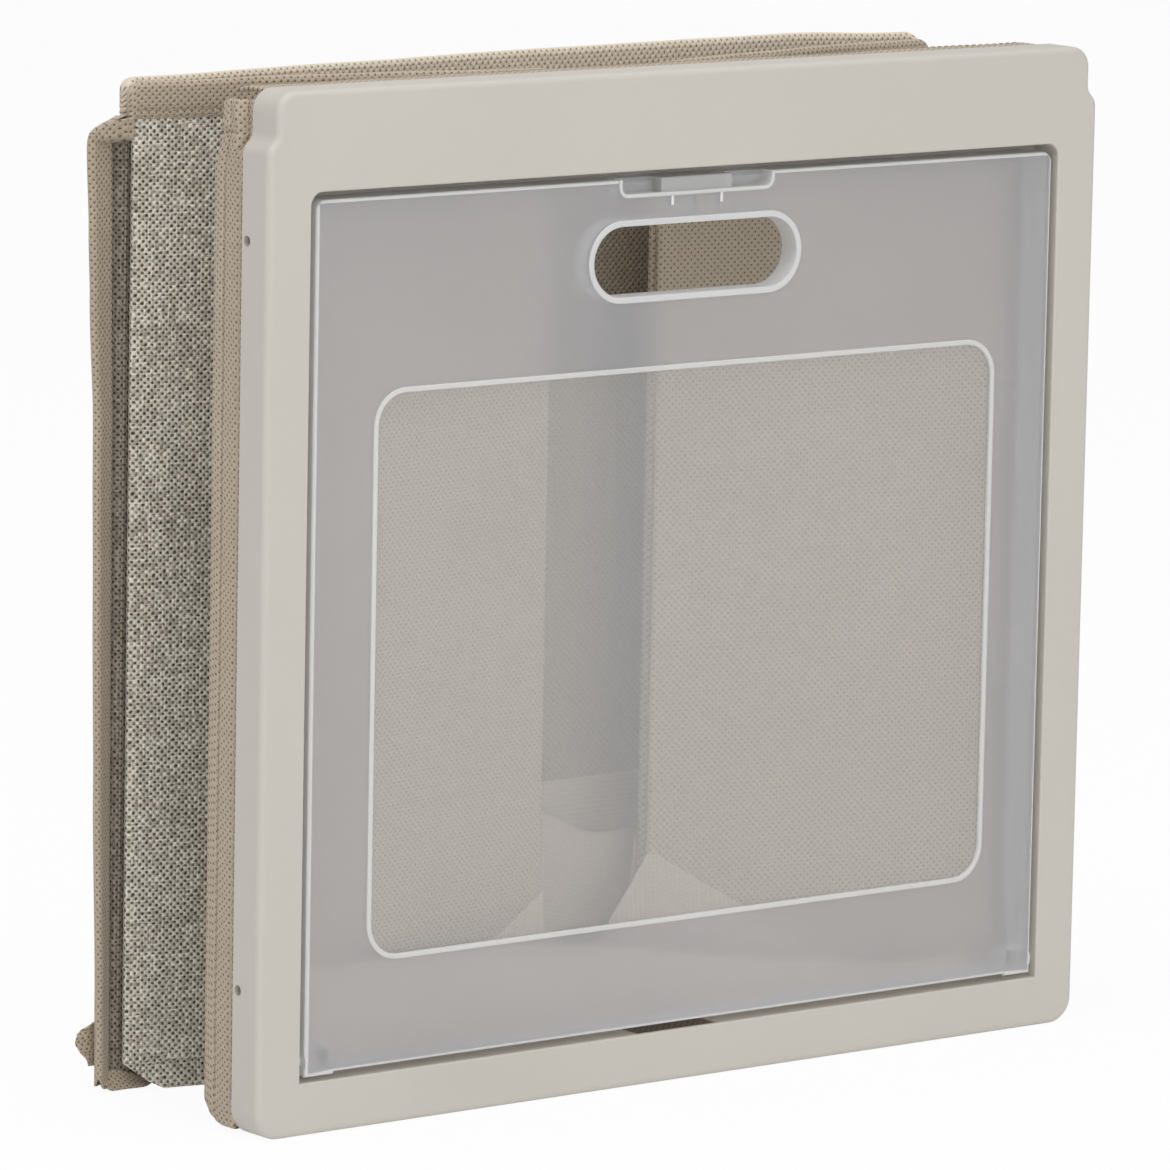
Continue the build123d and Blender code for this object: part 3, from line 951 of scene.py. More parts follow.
@dataclass
class DropDoor(SubAssembly):
    """The frosted door and its latch.

    Attributes:
        half_width: Half the door's width.
        foot: The height of its lower edge.
        head: The height of its upper edge.
        edge: The rounding of its outer edge.
        window: The window's middle height, half width, half height and corner radius.
        bead: Half the width of the bead round the window.
        handle: The handle's height, half its straight length and its ring's outer radius.
        pocket: Half the width of the latch pocket and the height of its foot, rim included.
        catch: Half the width of the latch's seat.
        ribs: Half the spacing of the ribs under the pocket, and the heights of their ends.
        zones: The finishes of the door's parts.
    """

    half_width: float = 0.1723
    foot: float = 0.0222
    head: float = 0.3405
    edge: float = 0.0012
    window: tuple[float, float, float, float] = (0.166, 0.145, 0.104, 0.013)
    bead: float = 0.0011
    handle: tuple[float, float, float] = (0.3103, 0.0345, 0.0155)
    pocket: Spot = (0.0365, 0.3336)
    catch: float = 0.0125
    ribs: tuple[float, float, float] = (0.0115, 0.3302, 0.3338)
    zones: tuple[Finish, ...] = (Finish.PANEL, Finish.PANE, Finish.RIM, Finish.RIB)

    def zone(self, centre: Vector, normal: Vector) -> Finish:
        """Find the finish of the part of the door that a face belongs to."""
        x, depth, z = abs(centre.x), centre.y - self.plan.front_y, centre.z
        level, half, tall, radius = self.window
        past = (x - half, abs(z - level) - tall)
        out = [max(0.0, distance + radius) for distance in past]
        window = math.hypot(*out) - radius if any(out) else max(past)
        high, straight, ring = self.handle
        if math.hypot(max(0.0, x - straight), z - high) < ring:
            return Finish.RIM
        if x < self.pocket[0] and z > self.pocket[1]:
            return Finish.PANEL if normal.y < -0.7 and depth > 0.004 else Finish.RIM
        if depth < 0.0013 and window <= self.bead:
            return Finish.RIM if window >= -self.bead else Finish.PANE
        inside = self.foot + self.edge <= z <= self.head - self.edge
        if x > self.half_width - self.edge or not inside:
            return Finish.RIM
        if normal.y > 0.7 and depth < 0.003:
            return Finish.PANE
        return Finish.RIM if x < self.catch and z > high and depth > 0.0027 else Finish.PANEL

    def build_shell(self) -> None:
        """Copy the door's node into a merged shell whose parts have finishes of their own."""
        shell = bmesh.new()
        shell.from_mesh(self.nodes["door_panel"].data)
        bmesh.ops.remove_doubles(shell, verts=shell.verts, dist=0.000002)
        shell.normal_update()
        for face in shell.faces:
            finish = self.zone(face.calc_center_median(), face.normal)
            face.material_index = self.zones.index(finish)
        spacing, low, high = self.ribs
        for x in (-spacing, spacing):
            size = Matrix.Diagonal((0.0011, 0.0005, high - low, 1.0))
            place = Matrix.Translation(self.plan.point(x, 0.0007, (low + high) / 2))
            made = bmesh.ops.create_cube(shell, size=1.0, matrix=place @ size)
            for face in {face for vertex in made["verts"] for face in vertex.link_faces}:
                face.material_index = self.zones.index(Finish.RIB)
        mesh = bpy.data.meshes.new("door_shell")
        shell.to_mesh(mesh)
        shell.free()
        mesh.set_sharp_from_angle(angle=math.radians(30))
        for polygon in mesh.polygons:
            polygon.use_smooth = max(abs(part) for part in polygon.normal) < 0.9999
        for finish in self.zones:
            mesh.materials.append(self.palette[finish])
        self.settle(stand("door_shell", mesh), "door", "frosted_plastic", "door_panel")

    def build(self) -> None:
        """Build the door's shell and finish its latch."""
        self.build_shell()
        self.dress("latch_tongue", Finish.LATCH)


@dataclass
class Collars(SubAssembly):
    """The stiff hems that run on behind the frame, and the floor's hem inside it.

    The groove and the piping are seams, at distances from a side hem's near edge.
    """

    near: float = 0.0161
    far: float = 0.0342
    low: float = 0.002
    high: float = 0.3758
    groove: float = 0.0122
    piping: float = 0.0034
    lower_radius: float = 0.012
    upper_radius: float = 0.004

    def side_point(self, side: Side, u: float, v: float, out: float = 0.0) -> Vector:
        """A point in the middle of a side collar's thickness, or a distance outside it.

        The upper end is folded: narrower at its rear edge, and tucked in over the frame's
        step at its front edge.
        """
        rest = self.far - self.near - u
        low = self.low + corner_drop(rest, self.lower_radius)
        high = self.high - corner_drop(rest, self.upper_radius)
        z = low + (high - low) * v / (self.high - self.low)
        sway = 0.0002 * ripple(u, z, 0.03, 3.0 * side.value)
        roll = 0.0003 * smooth(self.groove, self.groove + 0.002, u)
        fold = smooth(0.3560, 0.3605, z)
        tuck = 0.0036 * fold * smooth(0.0062, 0.0044, u)
        crumple = 0.0007 * fold * ripple(u, z, 0.0045, 12.0 * side.value)
        crease = 0.0009 * peak(z, 0.3638, 0.0009) * smooth(0.001, 0.004, u)
        depth = self.near + u - 0.0048 * smooth(0.350, 0.364, z) * smooth(0.0, 0.020, u)
        x = 0.1923 + sway + roll + crumple - crease - tuck + out
        return self.plan.point(side.value * x, depth, z)

    def build_side(self, side: Side) -> None:
        """Build one side collar with its rolled edge, its seam and its folded upper tab."""
        width, seams = self.far - self.near, (self.groove, self.piping)

        def middle(u: float, v: float) -> Vector:
            """The middle of the collar's cloth, turned so that its front looks outward."""
            return self.side_point(side, side.mirror(u, width), v)

        def fullness(u: float, v: float) -> float:
            """Draw the cloth in along the seams."""
            place = side.mirror(u, width)
            drawn = 0.5 * sum(peak(place, seam, 0.0006) for seam in seams)
            return 1.0 - drawn + 0.2 * smooth(self.groove + 0.001, self.groove + 0.003, place)

        def laid(u: float, v: float) -> Spot:
            """The weave's place, which runs on over the tucked upper end."""
            tucked = smooth(0.3540, 0.3585, v) * smooth(0.0062, 0.0044, side.mirror(u, width))
            return u - 0.0024 * tucked * side.value, v

        columns = [*steps(0.00035, -4, 4, self.groove), *steps(0.00035, -4, 4, self.piping)]
        columns = [side.mirror(u, width) for u in (*columns, *steps(0.001, 2, 11))]
        name, tall = f"{side.label}_collar", self.high - self.low
        form = ClothForm(
            f"{name}_hem", width, tall, middle, Ply.HEM, 0.004, fullness,
            steps(0.001, 0, 20, 0.350), columns, laid,
        )
        self.lay(form, Finish.TRIM, "frame", "binding_cloth", name, held="folded")
        first, count = 0.012, 60
        for u, out, top in ((self.groove, 0.0006, 0.345), (0.0016, 0.0009, 0.342)):
            rows = steps((top - first) / count, 0, count, first)
            self.stitching.draw("frame", [self.side_point(side, u, v, out) for v in rows])

    def build_top(self) -> None:
        """Build the hem behind the frame's upper edge."""
        half, deep, count = 0.182, 0.0203, 80

        def middle(u: float, v: float) -> Vector:
            """The middle of the hem's cloth, with its front looking up."""
            z = 0.3783 + 0.0004 * ripple(u, v, 0.03, 5.0) - 0.0009 * smooth(0.0, 0.006, v - 0.014)
            return self.plan.point(u - half, self.near + v, z)

        form = ClothForm("top_collar_hem", 2 * half, deep, middle, Ply.HEM)
        flat = {"held": "folded", "area": None}
        self.lay(form, Finish.TRIM, "frame", "binding_cloth", "top_collar", **flat)
        lift = Vector((0, 0, 0.0009))
        for v in (0.0145, 0.0175):
            row = [middle(2 * half * i / count, v) + lift for i in range(1, count)]
            self.stitching.draw("frame", row)

    def build_floor_hem(self) -> None:
        """Build the folded edge of the floor cloth on the channel's lower wall."""
        half, deep = 0.184, 0.0041

        def middle(u: float, v: float) -> Vector:
            """The middle of the hem's cloth."""
            return self.plan.point(u - half, 0.01285 + v, 0.0041)

        form = ClothForm("floor_hem_fold", 2 * half, deep, middle, Ply.ROLLED)
        self.lay(form, Finish.FLOOR, "frame", "binding_cloth", "floor_hem")

    def build(self) -> None:
        """Build every hem on the frame."""
        for side in Side:
            self.build_side(side)
        self.build_top()
        self.build_floor_hem()


@dataclass
class HalfWall(SubAssembly):
    """One half of a folding side wall: board, linen cover, lining and bound top edge.

    Its floor flap runs on past the middle fold by flap_reach. A cloth's middle lies ply under
    its face, and the taut cloths sway a little.
    """

    side: Side
    half: Half
    flap_height: float = 0.078
    flap_reach: float = 0.0
    ply: float = 0.0004
    sway: float = 0.00012

    def __post_init__(self) -> None:
        """Name the half wall and its body, and find its width and which way its cloth runs."""
        self.name = f"{self.side.label}_{self.half.value}"
        self.body = f"{self.name}_wall"
        self.front = self.half is Half.FRONT
        self.width = self.plan.length(self.half)
        # Where (along, up) would have its front looking inward, cloth runs the other way.
        self.turned = (self.side is Side.RIGHT) != self.front

    def point(self, along: float, z: float, inward: float) -> Vector:
        """Place a point on this half wall."""
        return self.plan.wall_point(self.side, self.half, along, z, inward)

    def raised(self, along: float, bottom: float, v: float) -> float:
        """The height of a place on a cloth whose lower edge follows the rear's cut corner."""
        plan, low = self.plan, bottom
        if not self.front:
            cut = plan.chamfer_rise * (along - (self.width - plan.chamfer))
            low = max(bottom, plan.bottom + cut)
        return low + (plan.band_bottom - low) * v / (plan.band_bottom - bottom)

    def build_cover(self) -> None:
        """Build the linen that faces out of the box. It turns in round the rear corner's end."""
        end, seam_level = self.width, 0.0114
        turned = [(-0.001, 0.0004), (0.0001, 0.0005), (0.0003, 0.0014), (0.0002, 0.0030)]
        if self.front:
            turned = [(-0.004, 0.0004), (-0.0022, 0.0004), (-0.0014, 0.0003)]
        start = [(0.0014, 0.0003), (0.0022, 0.0004), (0.004, 0.0004)]
        path = Trace((*start, *((end + along, inward) for along, inward in turned))).smoothed()
        seed, wide = 7.0 * self.side.value + len(self.half.value), path.length

        def laid(u: float, v: float) -> Spot:
            """The weave runs level, also where the lower edge is cut."""
            along = path.at(wide - u if self.turned else u)[0]
            return u, self.raised(along, self.plan.bottom, v)

        def middle(u: float, v: float) -> Vector:
            """The middle of the linen: taut on the board, creased under it and slack below."""
            along, inward = path.at(wide - u if self.turned else u)
            z = laid(u, v)[1]
            seam = seam_level + 0.0007 * ripple(along, 0.0, 0.03, seed)
            crease = smooth(seam + 0.0005, seam - 0.0004, z) * smooth(-0.004, seam, z)
            inward += self.sway * ripple(along, z, 0.05, seed)
            inward += 0.0019 * crease * smooth(0.002, 0.006, end - along)
            return self.point(along, z, inward)

        columns = both_ends(steps(0.0006, 1, 15), wide)
        form = ClothForm(
            f"{self.name}_linen", wide, self.plan.band_bottom - self.plan.bottom, middle, Ply.WALL,
            rows=steps(0.0003, -8, 8, 0.0112), columns=columns, laid=laid,
        )
        node = f"{self.name}_cover"
        self.lay(form, Finish.LINEN, self.body, "linen_cloth", node, held="stretched")

    def build_lining(self) -> None:
        """Build the lining that faces into the box. It wraps round the end at the middle fold."""
        plan, face, end = self.plan, self.plan.thickness - self.ply, self.width
        points = (
            (0.0016, 0.0), (0.0008, 0.0002), (0.0003, 0.0008), (0.0003, face - 0.0007),
            (0.0007, face - 0.0001), (0.002, face), (end - 0.003, face),
            (end - 0.0012, face - 0.0003), (end, face - 0.0013),
        )
        if self.front:
            points = tuple((end - along, inward) for along, inward in reversed(points))
        path = Trace(points).smoothed()
        seed, wide = 17.0 * self.side.value + len(self.half.value), path.length

        def middle(u: float, v: float) -> Vector:
            """The middle of the lining."""
            along, inward = path.at(u if self.turned else wide - u)
            z = self.raised(along, plan.board_bottom, v)
            return self.point(along, z, inward + self.sway * ripple(u, z, 0.06, seed))

        tall, columns = plan.band_bottom - plan.board_bottom, both_ends(steps(0.0006, 1, 11), wide)
        name, node = f"{self.name}_inner_cloth", f"{self.name}_lining"
        form = ClothForm(name, wide, tall, middle, Ply.WALL, columns=columns)
        self.lay(form, Finish.LINING, self.body, "lining_cloth", node, held="stretched")

    def build_band(self) -> None:
        """Build the bound top edge with its double row of stitches. It laps the rear corner."""
        start = 0.0004
        wide, radius = self.width + start + (0.0004 if self.front else 0.0026), 0.0055

        def middle(u: float, v: float, inward: float = 0.0) -> Vector:
            """The middle of the band, or a distance inward from it."""
            along = wide - u if self.turned else u
            outer_end = along if self.front else wide - along
            lift = 0.0003 * ripple(u, v, 0.03, 23.0 * self.side.value)
            lift -= 0.0011 * smooth(0.07, 0.0, outer_end) + corner_drop(outer_end, radius)
            z = self.plan.band_z(v, lift)
            return self.point(along - start, z, self.plan.thickness / 2 + inward)

        self.bind(self.name, wide, middle, Finish.TRIM, self.body, step=0.004, count=40)

    def build_flap(self) -> None:
        """Build the part of the floor cloth that stands in the fold, tallest at the crease."""
        plan, inset, foot, tall = self.plan, 0.002, 0.004, self.flap_height
        cut = 0.0 if self.front else plan.chamfer
        full = self.width - inset
        wide = full - cut + self.flap_reach
        inward = plan.thickness + 0.0003 + self.ply

        def height(along: float) -> float:
            """The flap's height at a distance from where an uncut flap would start."""
            rise = foot + (tall - foot) * min(along / full, 1.0) ** 1.5
            return rise - 1.6 * max(0.0, along - full)

        def middle(u: float, v: float) -> Vector:
            """The middle of the flap, a little crowned towards the inside of the box."""
            from_low = u if self.turned == self.front else wide - u
            along = inset + from_low if self.front else full - cut - from_low
            share = v / tall
            crown = math.sin(math.pi * share) * smooth(0.0, 0.06, from_low)
            swell = crown * (0.0022 + 0.0006 * ripple(u, v, 0.03, 31.0 * self.side.value))
            if self.flap_reach > 0:
                swell += 0.0012 * smooth(wide - 0.05, wide - 0.04, from_low)
            return self.point(along, plan.floor + height(from_low + cut) * share, inward + swell)

        form = ClothForm(f"{self.name}_floor_fold", wide, tall, middle, Ply.GUSSET, step=0.004)
        self.lay(
            form, Finish.FLOOR, f"{self.name}_gusset", "lining_cloth", f"{self.name}_floor_flap",
            held="folded", area=0.52 * wide * tall,
        )

    def build(self) -> None:
        """Build the half wall's cloth and finish its board."""
        self.build_cover()
        self.build_lining()
        self.build_band()
        self.build_flap()
        self.dress(f"{self.name}_board", Finish.BOARD)


@dataclass
class BackWall(SubAssembly):
    """The stiff back with its soft rear corners.

    Attributes:
        ply: How far a cloth's middle lies under its face.
        corner_line: A corner roll's section, as (out past the back, behind the back's face).
        corner_fold: The distance along it where the hood's front half begins.
        corner_foot: The height of a corner roll's lower end.
        valley_line: The section of the linen between a corner's roll and the side wall.
        swell: How wide a corner's roll is at each height.
        arch: How far the bound edge's upper edge arches at each X.
    """

    ply: float = 0.0004
    corner_line: Trace = Trace(
        tuple(
            (out / 1000, depth / 1000)
            for out, depth in (
                (-12, 4.1), (-8, 4.1), (-4, 4.1), (0, 4.1), (3, 4.05), (6, 3.6), (9, 2.4),
                (11.5, 0.7), (13.5, -1.2), (14.9, -3.0), (15.6, -4.4), (15.3, -5.3), (14.2, -5.4),
                (12.6, -4.8), (10.2, -3.9), (7.6, -3.0), (5.4, -2.2), (4.2, -1.5), (3.8, -0.3),
                (3.9, 1.0), (3.4, 2.0), (2.6, 2.4),
            )
        )
    ).smoothed()
    corner_fold: float = 0.0305
    corner_foot: float = 0.0015
    valley_line: Trace = Trace((
        (0.0032, 0.0019), (0.0016, 0.0018), (0.0008, 0.001), (0.0006, -0.0003), (-0.0004, -0.0008),
        (-0.0068, -0.0009),
    )).smoothed()
    swell: tuple[Spot, ...] = (
        (0.0, 0.56), (0.036, 0.58), (0.114, 0.7), (0.185, 0.78), (0.245, 0.81), (0.297, 0.95),
        (0.320, 1.0), (0.352, 1.08),
    )
    arch: tuple[Spot, ...] = (
        (-0.17, 0.0), (-0.1, 0.0011), (0.02, 0.0024), (0.12, 0.0031), (0.18, 0.0012),
    )

    def build_linen(self) -> None:
        """Build the back's outer cloth, drawn in along the board's foot."""
        plan, half, crease = self.plan, self.plan.back_half, 0.0108
        rear = plan.back_depth + plan.thickness - self.ply

        def middle(u: float, v: float) -> Vector:
            """The middle of the linen."""
            z = plan.bottom + v
            sway = 0.0001 * ripple(u, v, 0.06, 41.0) - 0.0005 * peak(z, crease, 0.0011)
            return plan.point(half - u, rear + sway, z)

        tall, rows = plan.band_bottom - plan.bottom, steps(0.0005, -5, 5, crease)
        form = ClothForm("back_linen", 2 * half, tall, middle, Ply.WALL, 0.008, rows=rows)
        flat = {"held": "stretched", "area": None}
        self.lay(form, Finish.LINEN, "back", "linen_cloth", "back_cover", **flat)

    def build_lining(self) -> None:
        """Build the back's lining, turned forward at both ends to meet the side walls. Its colour
        is darkened as painted shade for the deep inside of the box.
        """
        plan, half, turn = self.plan, self.plan.back_half - 0.0015, 0.0024
        wide, tall = 2 * half, plan.band_bottom - plan.board_bottom

        def middle(u: float, v: float) -> Vector:
            """The middle of the lining."""
            turned = 0.0023 * max(0.0, 1 - min(u, wide - u) / turn) ** 2
            depth = plan.back_depth + self.ply + 0.0001 * ripple(u, v, 0.06, 43.0) - turned
            return plan.point(u - half, depth, plan.board_bottom + v)

        columns = both_ends(steps(turn / 4, 1, 4), wide)
        form = ClothForm("back_inner_cloth", wide, tall, middle, Ply.WALL, 0.008, columns=columns)
        flat = {"held": "stretched", "area": None}
        self.lay(form, Finish.DEEP, "back", "lining_cloth", "back_lining", **flat)

    def build_band(self) -> None:
        """Build the back's bound top edge, which arches and is thicker round its corners. Its
        colour is lightened as painted light.
        """
        plan, half, radius = self.plan, self.plan.back_half - 0.0012, 0.0055
        wide = 2 * half

        def corner(u: float) -> float:
            """How far the band is on its way round a corner."""
            return smooth(0.0065, 0.002, min(u, wide - u))

        def middle(u: float, v: float, out: float = 0.0) -> Vector:
            """The middle of the bound edge, or a distance behind it."""
            lift = 0.0003 * ripple(u, v, 0.04, 47.0) + profile(self.arch, half - u)
            z = plan.band_z(v, lift - corner_drop(min(u, wide - u), radius))
            depth = plan.back_depth + plan.thickness / 2 + out - 0.0008 * corner(u)
            return plan.point(half - u, depth, z)

        self.bind("back", wide, middle, Finish.BAND, "back", 0.005, 90, corner)

    def spread(self, side: Side, out: float, z: float) -> float:
        """How far out a corner's point lies at a height: the roll is slacker further up."""
        if out <= 0:
            return out
        return out * profile(self.swell, z) * (1 + 0.04 * ripple(z, 0.0, 0.07, 53.0 * side.value))

    def roll_point(self, side: Side, along: float, share: float, high: float) -> Vector:
        """A point of a corner's roll and hood.

        Args:
            side: Which corner.
            along: The distance along the section's line.
            share: The height, from 0 at the lower end to 1 at the upper end.
            high: The height of its upper end beside the back.

        Returns:
            The point in the row frame.
        """
        out, depth = self.corner_line.at(along)
        beyond = max(out, 0.0)
        low = self.corner_foot + 0.7 * corner_drop(0.0155 - beyond, 0.008)
        top = high - 0.4 * beyond - corner_drop(0.0165 - beyond, 0.004)
        top -= 0.004 * smooth(0.0012, -0.0006, out)
        z = low + (top - low) * share
        lid = -0.0066 + 0.0014 * smooth(0.0, 0.014, out)
        if along > self.corner_fold:
            edge = top - 0.002 - 0.0085 * max(0.0, 1 - out / 0.016)
            hood = smooth(edge - 0.0007, edge + 0.0007, z)
            depth += (lid - depth) * hood
            out -= 0.0045 * hood * smooth(0.006, 0.0026, out)
        else:
            shut = 1 - min(max((top - z) / 0.006, 0.0), 1.0)
            closed = smooth(-0.0014, 0.0004, out) * (1 - math.sqrt(1 - shut * shut))
            depth = lid + (depth - lid) * (1 - closed)
        return self.plan.corner_point(side, self.spread(side, out, z), depth, z)

    def build_roll(self, side: Side, high: float) -> None:
        """Build a slack rear corner: a roll of cloth past the back with a hood over it."""
        wide, tall = self.corner_line.length, high - self.corner_foot

        def middle(u: float, v: float) -> Vector:
            """The middle of the roll's cloth."""
            return self.roll_point(side, side.mirror(u, wide), v / tall, high)

        form = ClothForm(
            f"{side.label}_corner_cloth", wide, tall, middle, Ply.TRIM, 0.0016,
            rows=steps(-0.0006, 1, 27, tall), laid=lambda u, v: (u, middle(u, v).z),
        )
        node = f"{side.label}_corner_binding"
        self.lay(form, Finish.TRIM, "back", "binding_cloth", node, held="folded")

    def build_valley(self, side: Side) -> None:
        """Build the linen deep in the valley between a corner's roll and the side wall, darkened as
        painted shade.
        """
        deep, foot = self.valley_line.length, 0.003

        def middle(u: float, v: float) -> Vector:
            """The middle of the linen in the valley."""
            out, depth = self.valley_line.at(side.mirror(u, deep))
            return self.plan.corner_point(side, self.spread(side, out, foot + v), depth, foot + v)

        tall = self.plan.band_bottom - 0.002 - foot
        form = ClothForm(f"{side.label}_corner_linen", deep, tall, middle, Ply.SOFT, 0.0016)
        self.lay(form, Finish.VALLEY, "back", "linen_cloth", held="folded")

    def build_foot(self, side: Side) -> None:
        """Build the cloth that turns in under the wall's cut corner, from the corner's roll."""
        wide, tall, inner = 0.0250, 0.0105, -0.0196

        def middle(u: float, v: float) -> Vector:
            """The middle of the turned cloth, furthest forward along its lower edge."""
            out, rise = side.mirror(u, wide) + inner, v / tall
            low = 0.0009 + corner_drop(0.0062 - out, 0.005) + 0.0003 * ripple(out, 0.0, 0.012, 71.0)
            top = max(0.0082 - 0.0050 * smooth(0.002, inner, out), low + 0.001)
            depth = -0.0012 - 0.0036 * (1 - rise) ** 1.6 * smooth(inner, -0.012, out)
            return self.plan.corner_point(side, out, depth, low + (top - low) * rise)

        form = ClothForm(f"{side.label}_corner_foot", wide, tall, middle, Ply.TRIM, 0.0016)
        self.lay(form, Finish.TRIM, "back", "binding_cloth", held="folded")

    def build_ear(self) -> None:
        """Build the pinched end of cloth that stands out behind the left corner's foot."""
        wide, tall = 0.0105, 0.0165
        outline = ((0.0, 0.0042), (0.0095, 0.0102), (0.0122, 0.0098), (tall, 0.0030))

        def middle(u: float, v: float) -> Vector:
            """The middle of the pinched cloth."""
            share = 1 - u / wide
            depth = 0.0032 + 0.0004 * math.sin(v * 1500) * share
            out = 0.0035 + profile(outline, v) * share
            return self.plan.corner_point(Side.LEFT, out, depth, 0.0094 + v)

        form = ClothForm("left_corner_ear", wide, tall, middle, Ply.TRIM, 0.0012)
        self.lay(form, Finish.TRIM, "back", "binding_cloth", held="folded")

    def build(self) -> None:
        """Build the whole back."""
        self.build_linen()
        self.build_lining()
        self.build_band()
        self.dress("back_board", Finish.BOARD)
        for side, high in ((Side.LEFT, 0.3637), (Side.RIGHT, 0.3690)):
            self.build_roll(side, high)
            self.build_valley(side)
            self.build_foot(side)
        self.build_ear()


@dataclass
class FloorCloth(SubAssembly):
    """The middle of the floor: a flap at the sill and three pleats that hang at the back.

    Attributes:
        head: The height of the pleats.
        pleat: The distance from pleat to pleat.
        halves: Half the width of each pleat at its foot and at its head.
    """

    head: float = 0.0951
    pleat: float = 0.0009
    halves: tuple[Spot, ...] = ((0.1670, 0.1409), (0.1161, 0.1409), (0.1161, 0.1612))

    def build_front(self) -> None:
        """Build the flap behind the sill, which sinks towards the right."""
        plan, wide, tall = self.plan, 0.366, 0.056

        def middle(u: float, v: float) -> Vector:
            """The middle of the flap."""
            share = v / tall
            x = (u - wide / 2) * (1 - 0.05 * share)
            sunk = 0.030 * smooth(-0.09, 0.16, x) + 0.003 * (1 + ripple(x, 0.0, 0.06, 61.0))
            lean = 0.0075 * share * share + 0.0012 * share * (1 + ripple(x, share, 0.07, 67.0))
            return plan.point(x, 0.0177 + lean, plan.floor + (tall - sunk) * share)

        form = ClothForm("sill_floor_fold", wide, tall, middle, Ply.SOFT, 0.005)
        self.lay(
            form, Finish.FLOOR, "sill_flap", "lining_cloth", "front_floor_flap",
            held="folded", area=0.78 * wide * tall,
        )

    def build_pleat(self, index: int) -> None:
        """Build one rear pleat. The foremost one stands forward in the gap between the walls."""
        plan, (foot_half, head_half) = self.plan, self.halves[index - 1]
        wide, foremost = 2 * max(foot_half, head_half), index == 3
        rest = plan.back_depth - index * self.pleat + 0.0003

        def middle(u: float, v: float) -> Vector:
            """The middle of the pleat."""
            share, depth, z = v / self.head, rest, plan.floor + v
            x = (u / wide - 0.5) * 2 * (foot_half + (head_half - foot_half) * share)
            if foremost:
                stood = smooth(-0.013, -0.004, x) * (1 - smooth(0.035, 0.09, x))
                depth -= 0.017 * stood * smooth(0.0, 0.03, v) * (1 - 0.12 * share)
                z -= share * (0.0065 + 0.0125 * smooth(-0.012, 0.025, x))
            return plan.point(x, depth, z)

        columns = [wide * (0.5 + x / 0.3) for x in steps(0.002, -7, -1)] if foremost else ()
        name = f"rear_floor_fold_{index}"
        form = ClothForm(name, wide, self.head, middle, Ply.SOFT, columns=columns)
        piece = self.lay(
            form, Finish.FLOOR, f"rear_flap_{index}", "lining_cloth", f"rear_floor_flap_{index}",
            held="folded", area=(foot_half + head_half) * self.head,
        )
        if foremost:
            anchor = tuple(plan.point(0, rest, 0))
            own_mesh(piece)

    def build(self) -> None:
        """Build every flap in the middle of the floor."""
        self.build_front()
        for index in (1, 2, 3):
            self.build_pleat(index)


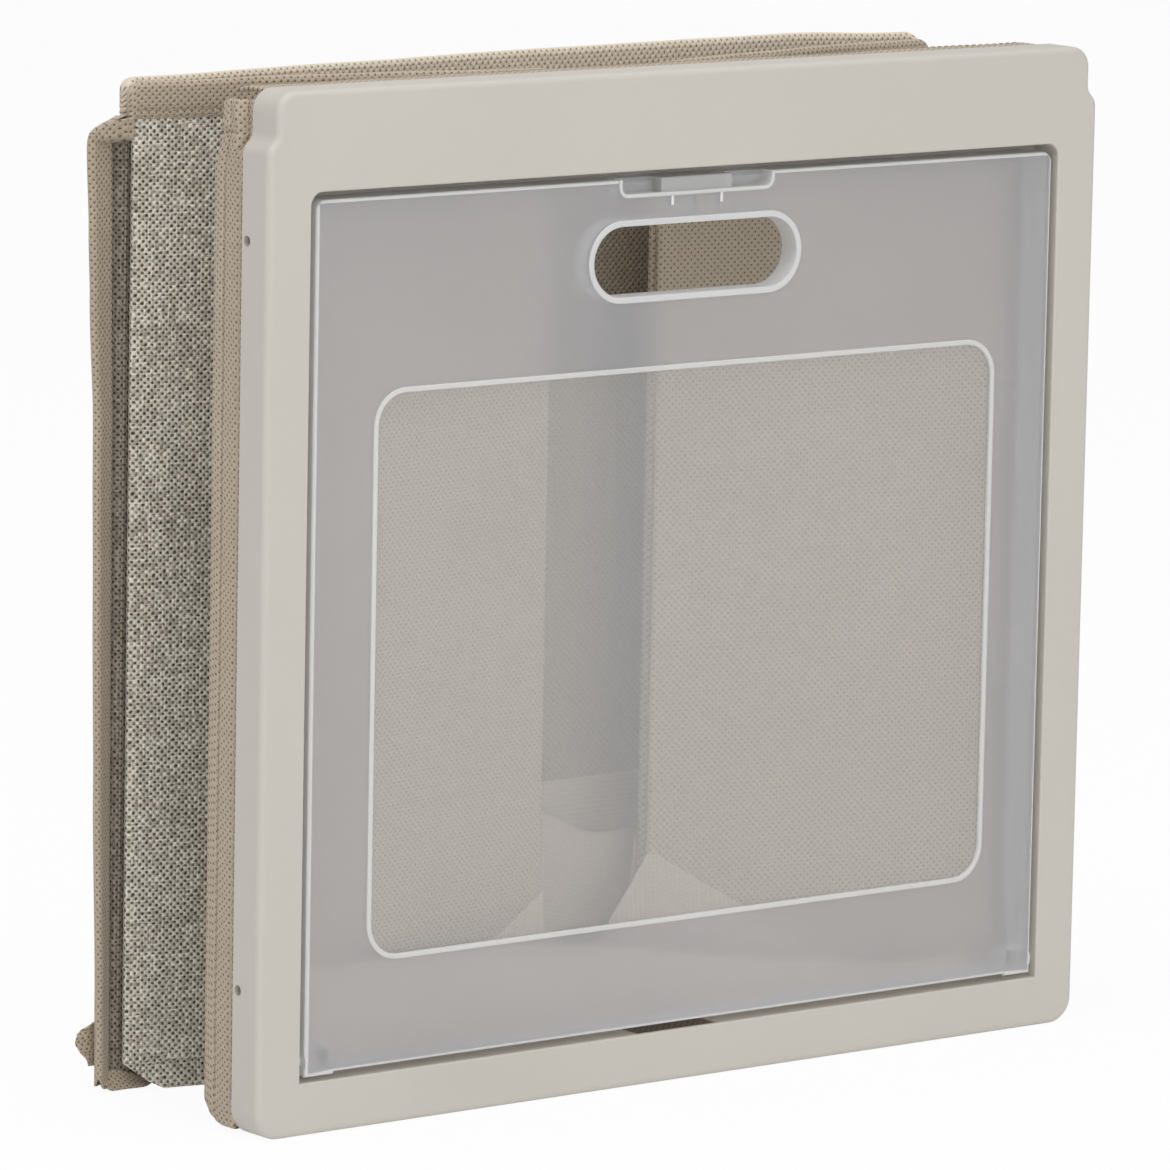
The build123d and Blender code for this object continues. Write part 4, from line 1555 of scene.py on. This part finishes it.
@dataclass
class Studio:
    """The pale floor, the soft lights and the camera."""

    yaw: float = math.radians(37.74)
    pitch: float = math.radians(9.17)
    roll: float = math.radians(1.099)
    distance: float = 3.088
    target: Place = (-0.0105, -0.002681, 0.1817)
    lens: float = 253.3

    def place_camera(self) -> None:
        """Set the camera at the photograph's angle."""
        level, drop = math.cos(self.pitch), math.sin(self.pitch)
        ahead = Vector((math.sin(self.yaw) * level, math.cos(self.yaw) * level, -drop))
        right = Vector((math.cos(self.yaw), -math.sin(self.yaw), 0))
        up = right.cross(ahead)
        turned_right = math.cos(self.roll) * right + math.sin(self.roll) * up
        turned_up = math.cos(self.roll) * up - math.sin(self.roll) * right
        data = bpy.data.cameras.new("Photo camera")
        data.lens, data.sensor_width, data.clip_end = self.lens, 36.0, 60.0
        camera = stand("Photo camera", data)
        turn = Matrix((turned_right, turned_up, -ahead)).transposed().to_4x4()
        camera.matrix_world = Matrix.Translation(Vector(self.target) - self.distance * ahead) @ turn
        bpy.context.scene.camera = camera

    def add_lamp(self, name: str, place: Place, size: float, power: float) -> None:
        """Add a soft square lamp that looks at the box."""
        data = bpy.data.lights.new(name, "AREA")
        data.shape, data.size, data.energy = "SQUARE", size, power
        turn = (Vector((0, 0, 0.19)) - Vector(place)).to_track_quat("-Z", "Y").to_matrix().to_4x4()
        stand(name, data).matrix_world = Matrix.Translation(place) @ turn

    def build_floor(self) -> None:
        """Lay the pale floor. It glows where it is seen, and takes light where it isn't."""
        reach = 30.0
        corners = [(x * reach, y * reach, 0) for x, y in ((-1, -1), (1, -1), (1, 1), (-1, 1))]
        mesh = bpy.data.meshes.new("Studio floor")
        mesh.from_pydata(corners, [], [(0, 1, 2, 3)])
        d = Draft("Pale floor")
        d.feed(d.shader, {"Base Color": (0.93, 0.93, 0.93, 1), "Roughness": 0.9})
        rays = d.add("ShaderNodeLightPath").outputs
        mirrored = d.math("MAXIMUM", rays["Is Glossy Ray"], rays["Is Transmission Ray"])
        seen = d.math("MAXIMUM", rays["Is Camera Ray"], mirrored)
        d.choose(d.output, d.math("MULTIPLY", seen, 0.94), d.shader, d.add("ShaderNodeEmission"))
        mesh.materials.append(d.material)
        floor = stand("Studio floor", mesh)

    def light_world(self) -> None:
        """Light the room evenly, and show white where nothing stands."""
        world = bpy.data.worlds.new("Studio world")
        world.use_nodes = True
        world.node_tree.nodes.clear()
        w = Wiring(world.node_tree)
        room = w.add("ShaderNodeBackground", {"Color": (0.97, 0.985, 1.0, 1), "Strength": 0.56})
        white = w.add("ShaderNodeBackground", {"Color": (1, 1, 1, 1)})
        seen = w.add("ShaderNodeLightPath").outputs["Is Camera Ray"]
        w.choose(w.add("ShaderNodeOutputWorld"), seen, room, white)
        bpy.context.scene.world = world

    def build(self) -> None:
        """Set up the studio."""
        self.place_camera()
        self.add_lamp("Front softbox", (-0.75, -2.7, 0.5), 2.0, 21.0)
        self.add_lamp("Top softbox", (-0.5, -0.4, 2.4), 2.0, 27.0)
        self.add_lamp("Left softbox", (-2.8, -1.2, 1.8), 1.8, 1.0)
        self.build_floor()
        self.light_world()
        bpy.context.scene.view_settings.view_transform = "Standard"


def main() -> None:
    """Build the studio and dress every piece of the box."""
    logging.basicConfig(level=logging.INFO, format="%(name)s: %(message)s")
    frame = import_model()
    groups = Groups()
    palette = {finish: finish.value.build(groups) for finish in Finish}
    stitching = Stitching(stitch_tree(palette[Finish.THREAD]))
    shared = (Plan(), frame["nodes"], palette, stitching)
    Studio().build()
    FrontFrame(*shared).build()
    DropDoor(*shared).build()
    Collars(*shared).build()
    for side, flap_height, flap_reach in ((Side.LEFT, 0.0640, 0.0), (Side.RIGHT, 0.0745, 0.045)):
        HalfWall(*shared, side, Half.FRONT, flap_height, flap_reach).build()
        HalfWall(*shared, side, Half.REAR).build()
    BackWall(*shared).build()
    FloorCloth(*shared).build()
    stitching.finish()


if __name__ == "__main__":
    main()
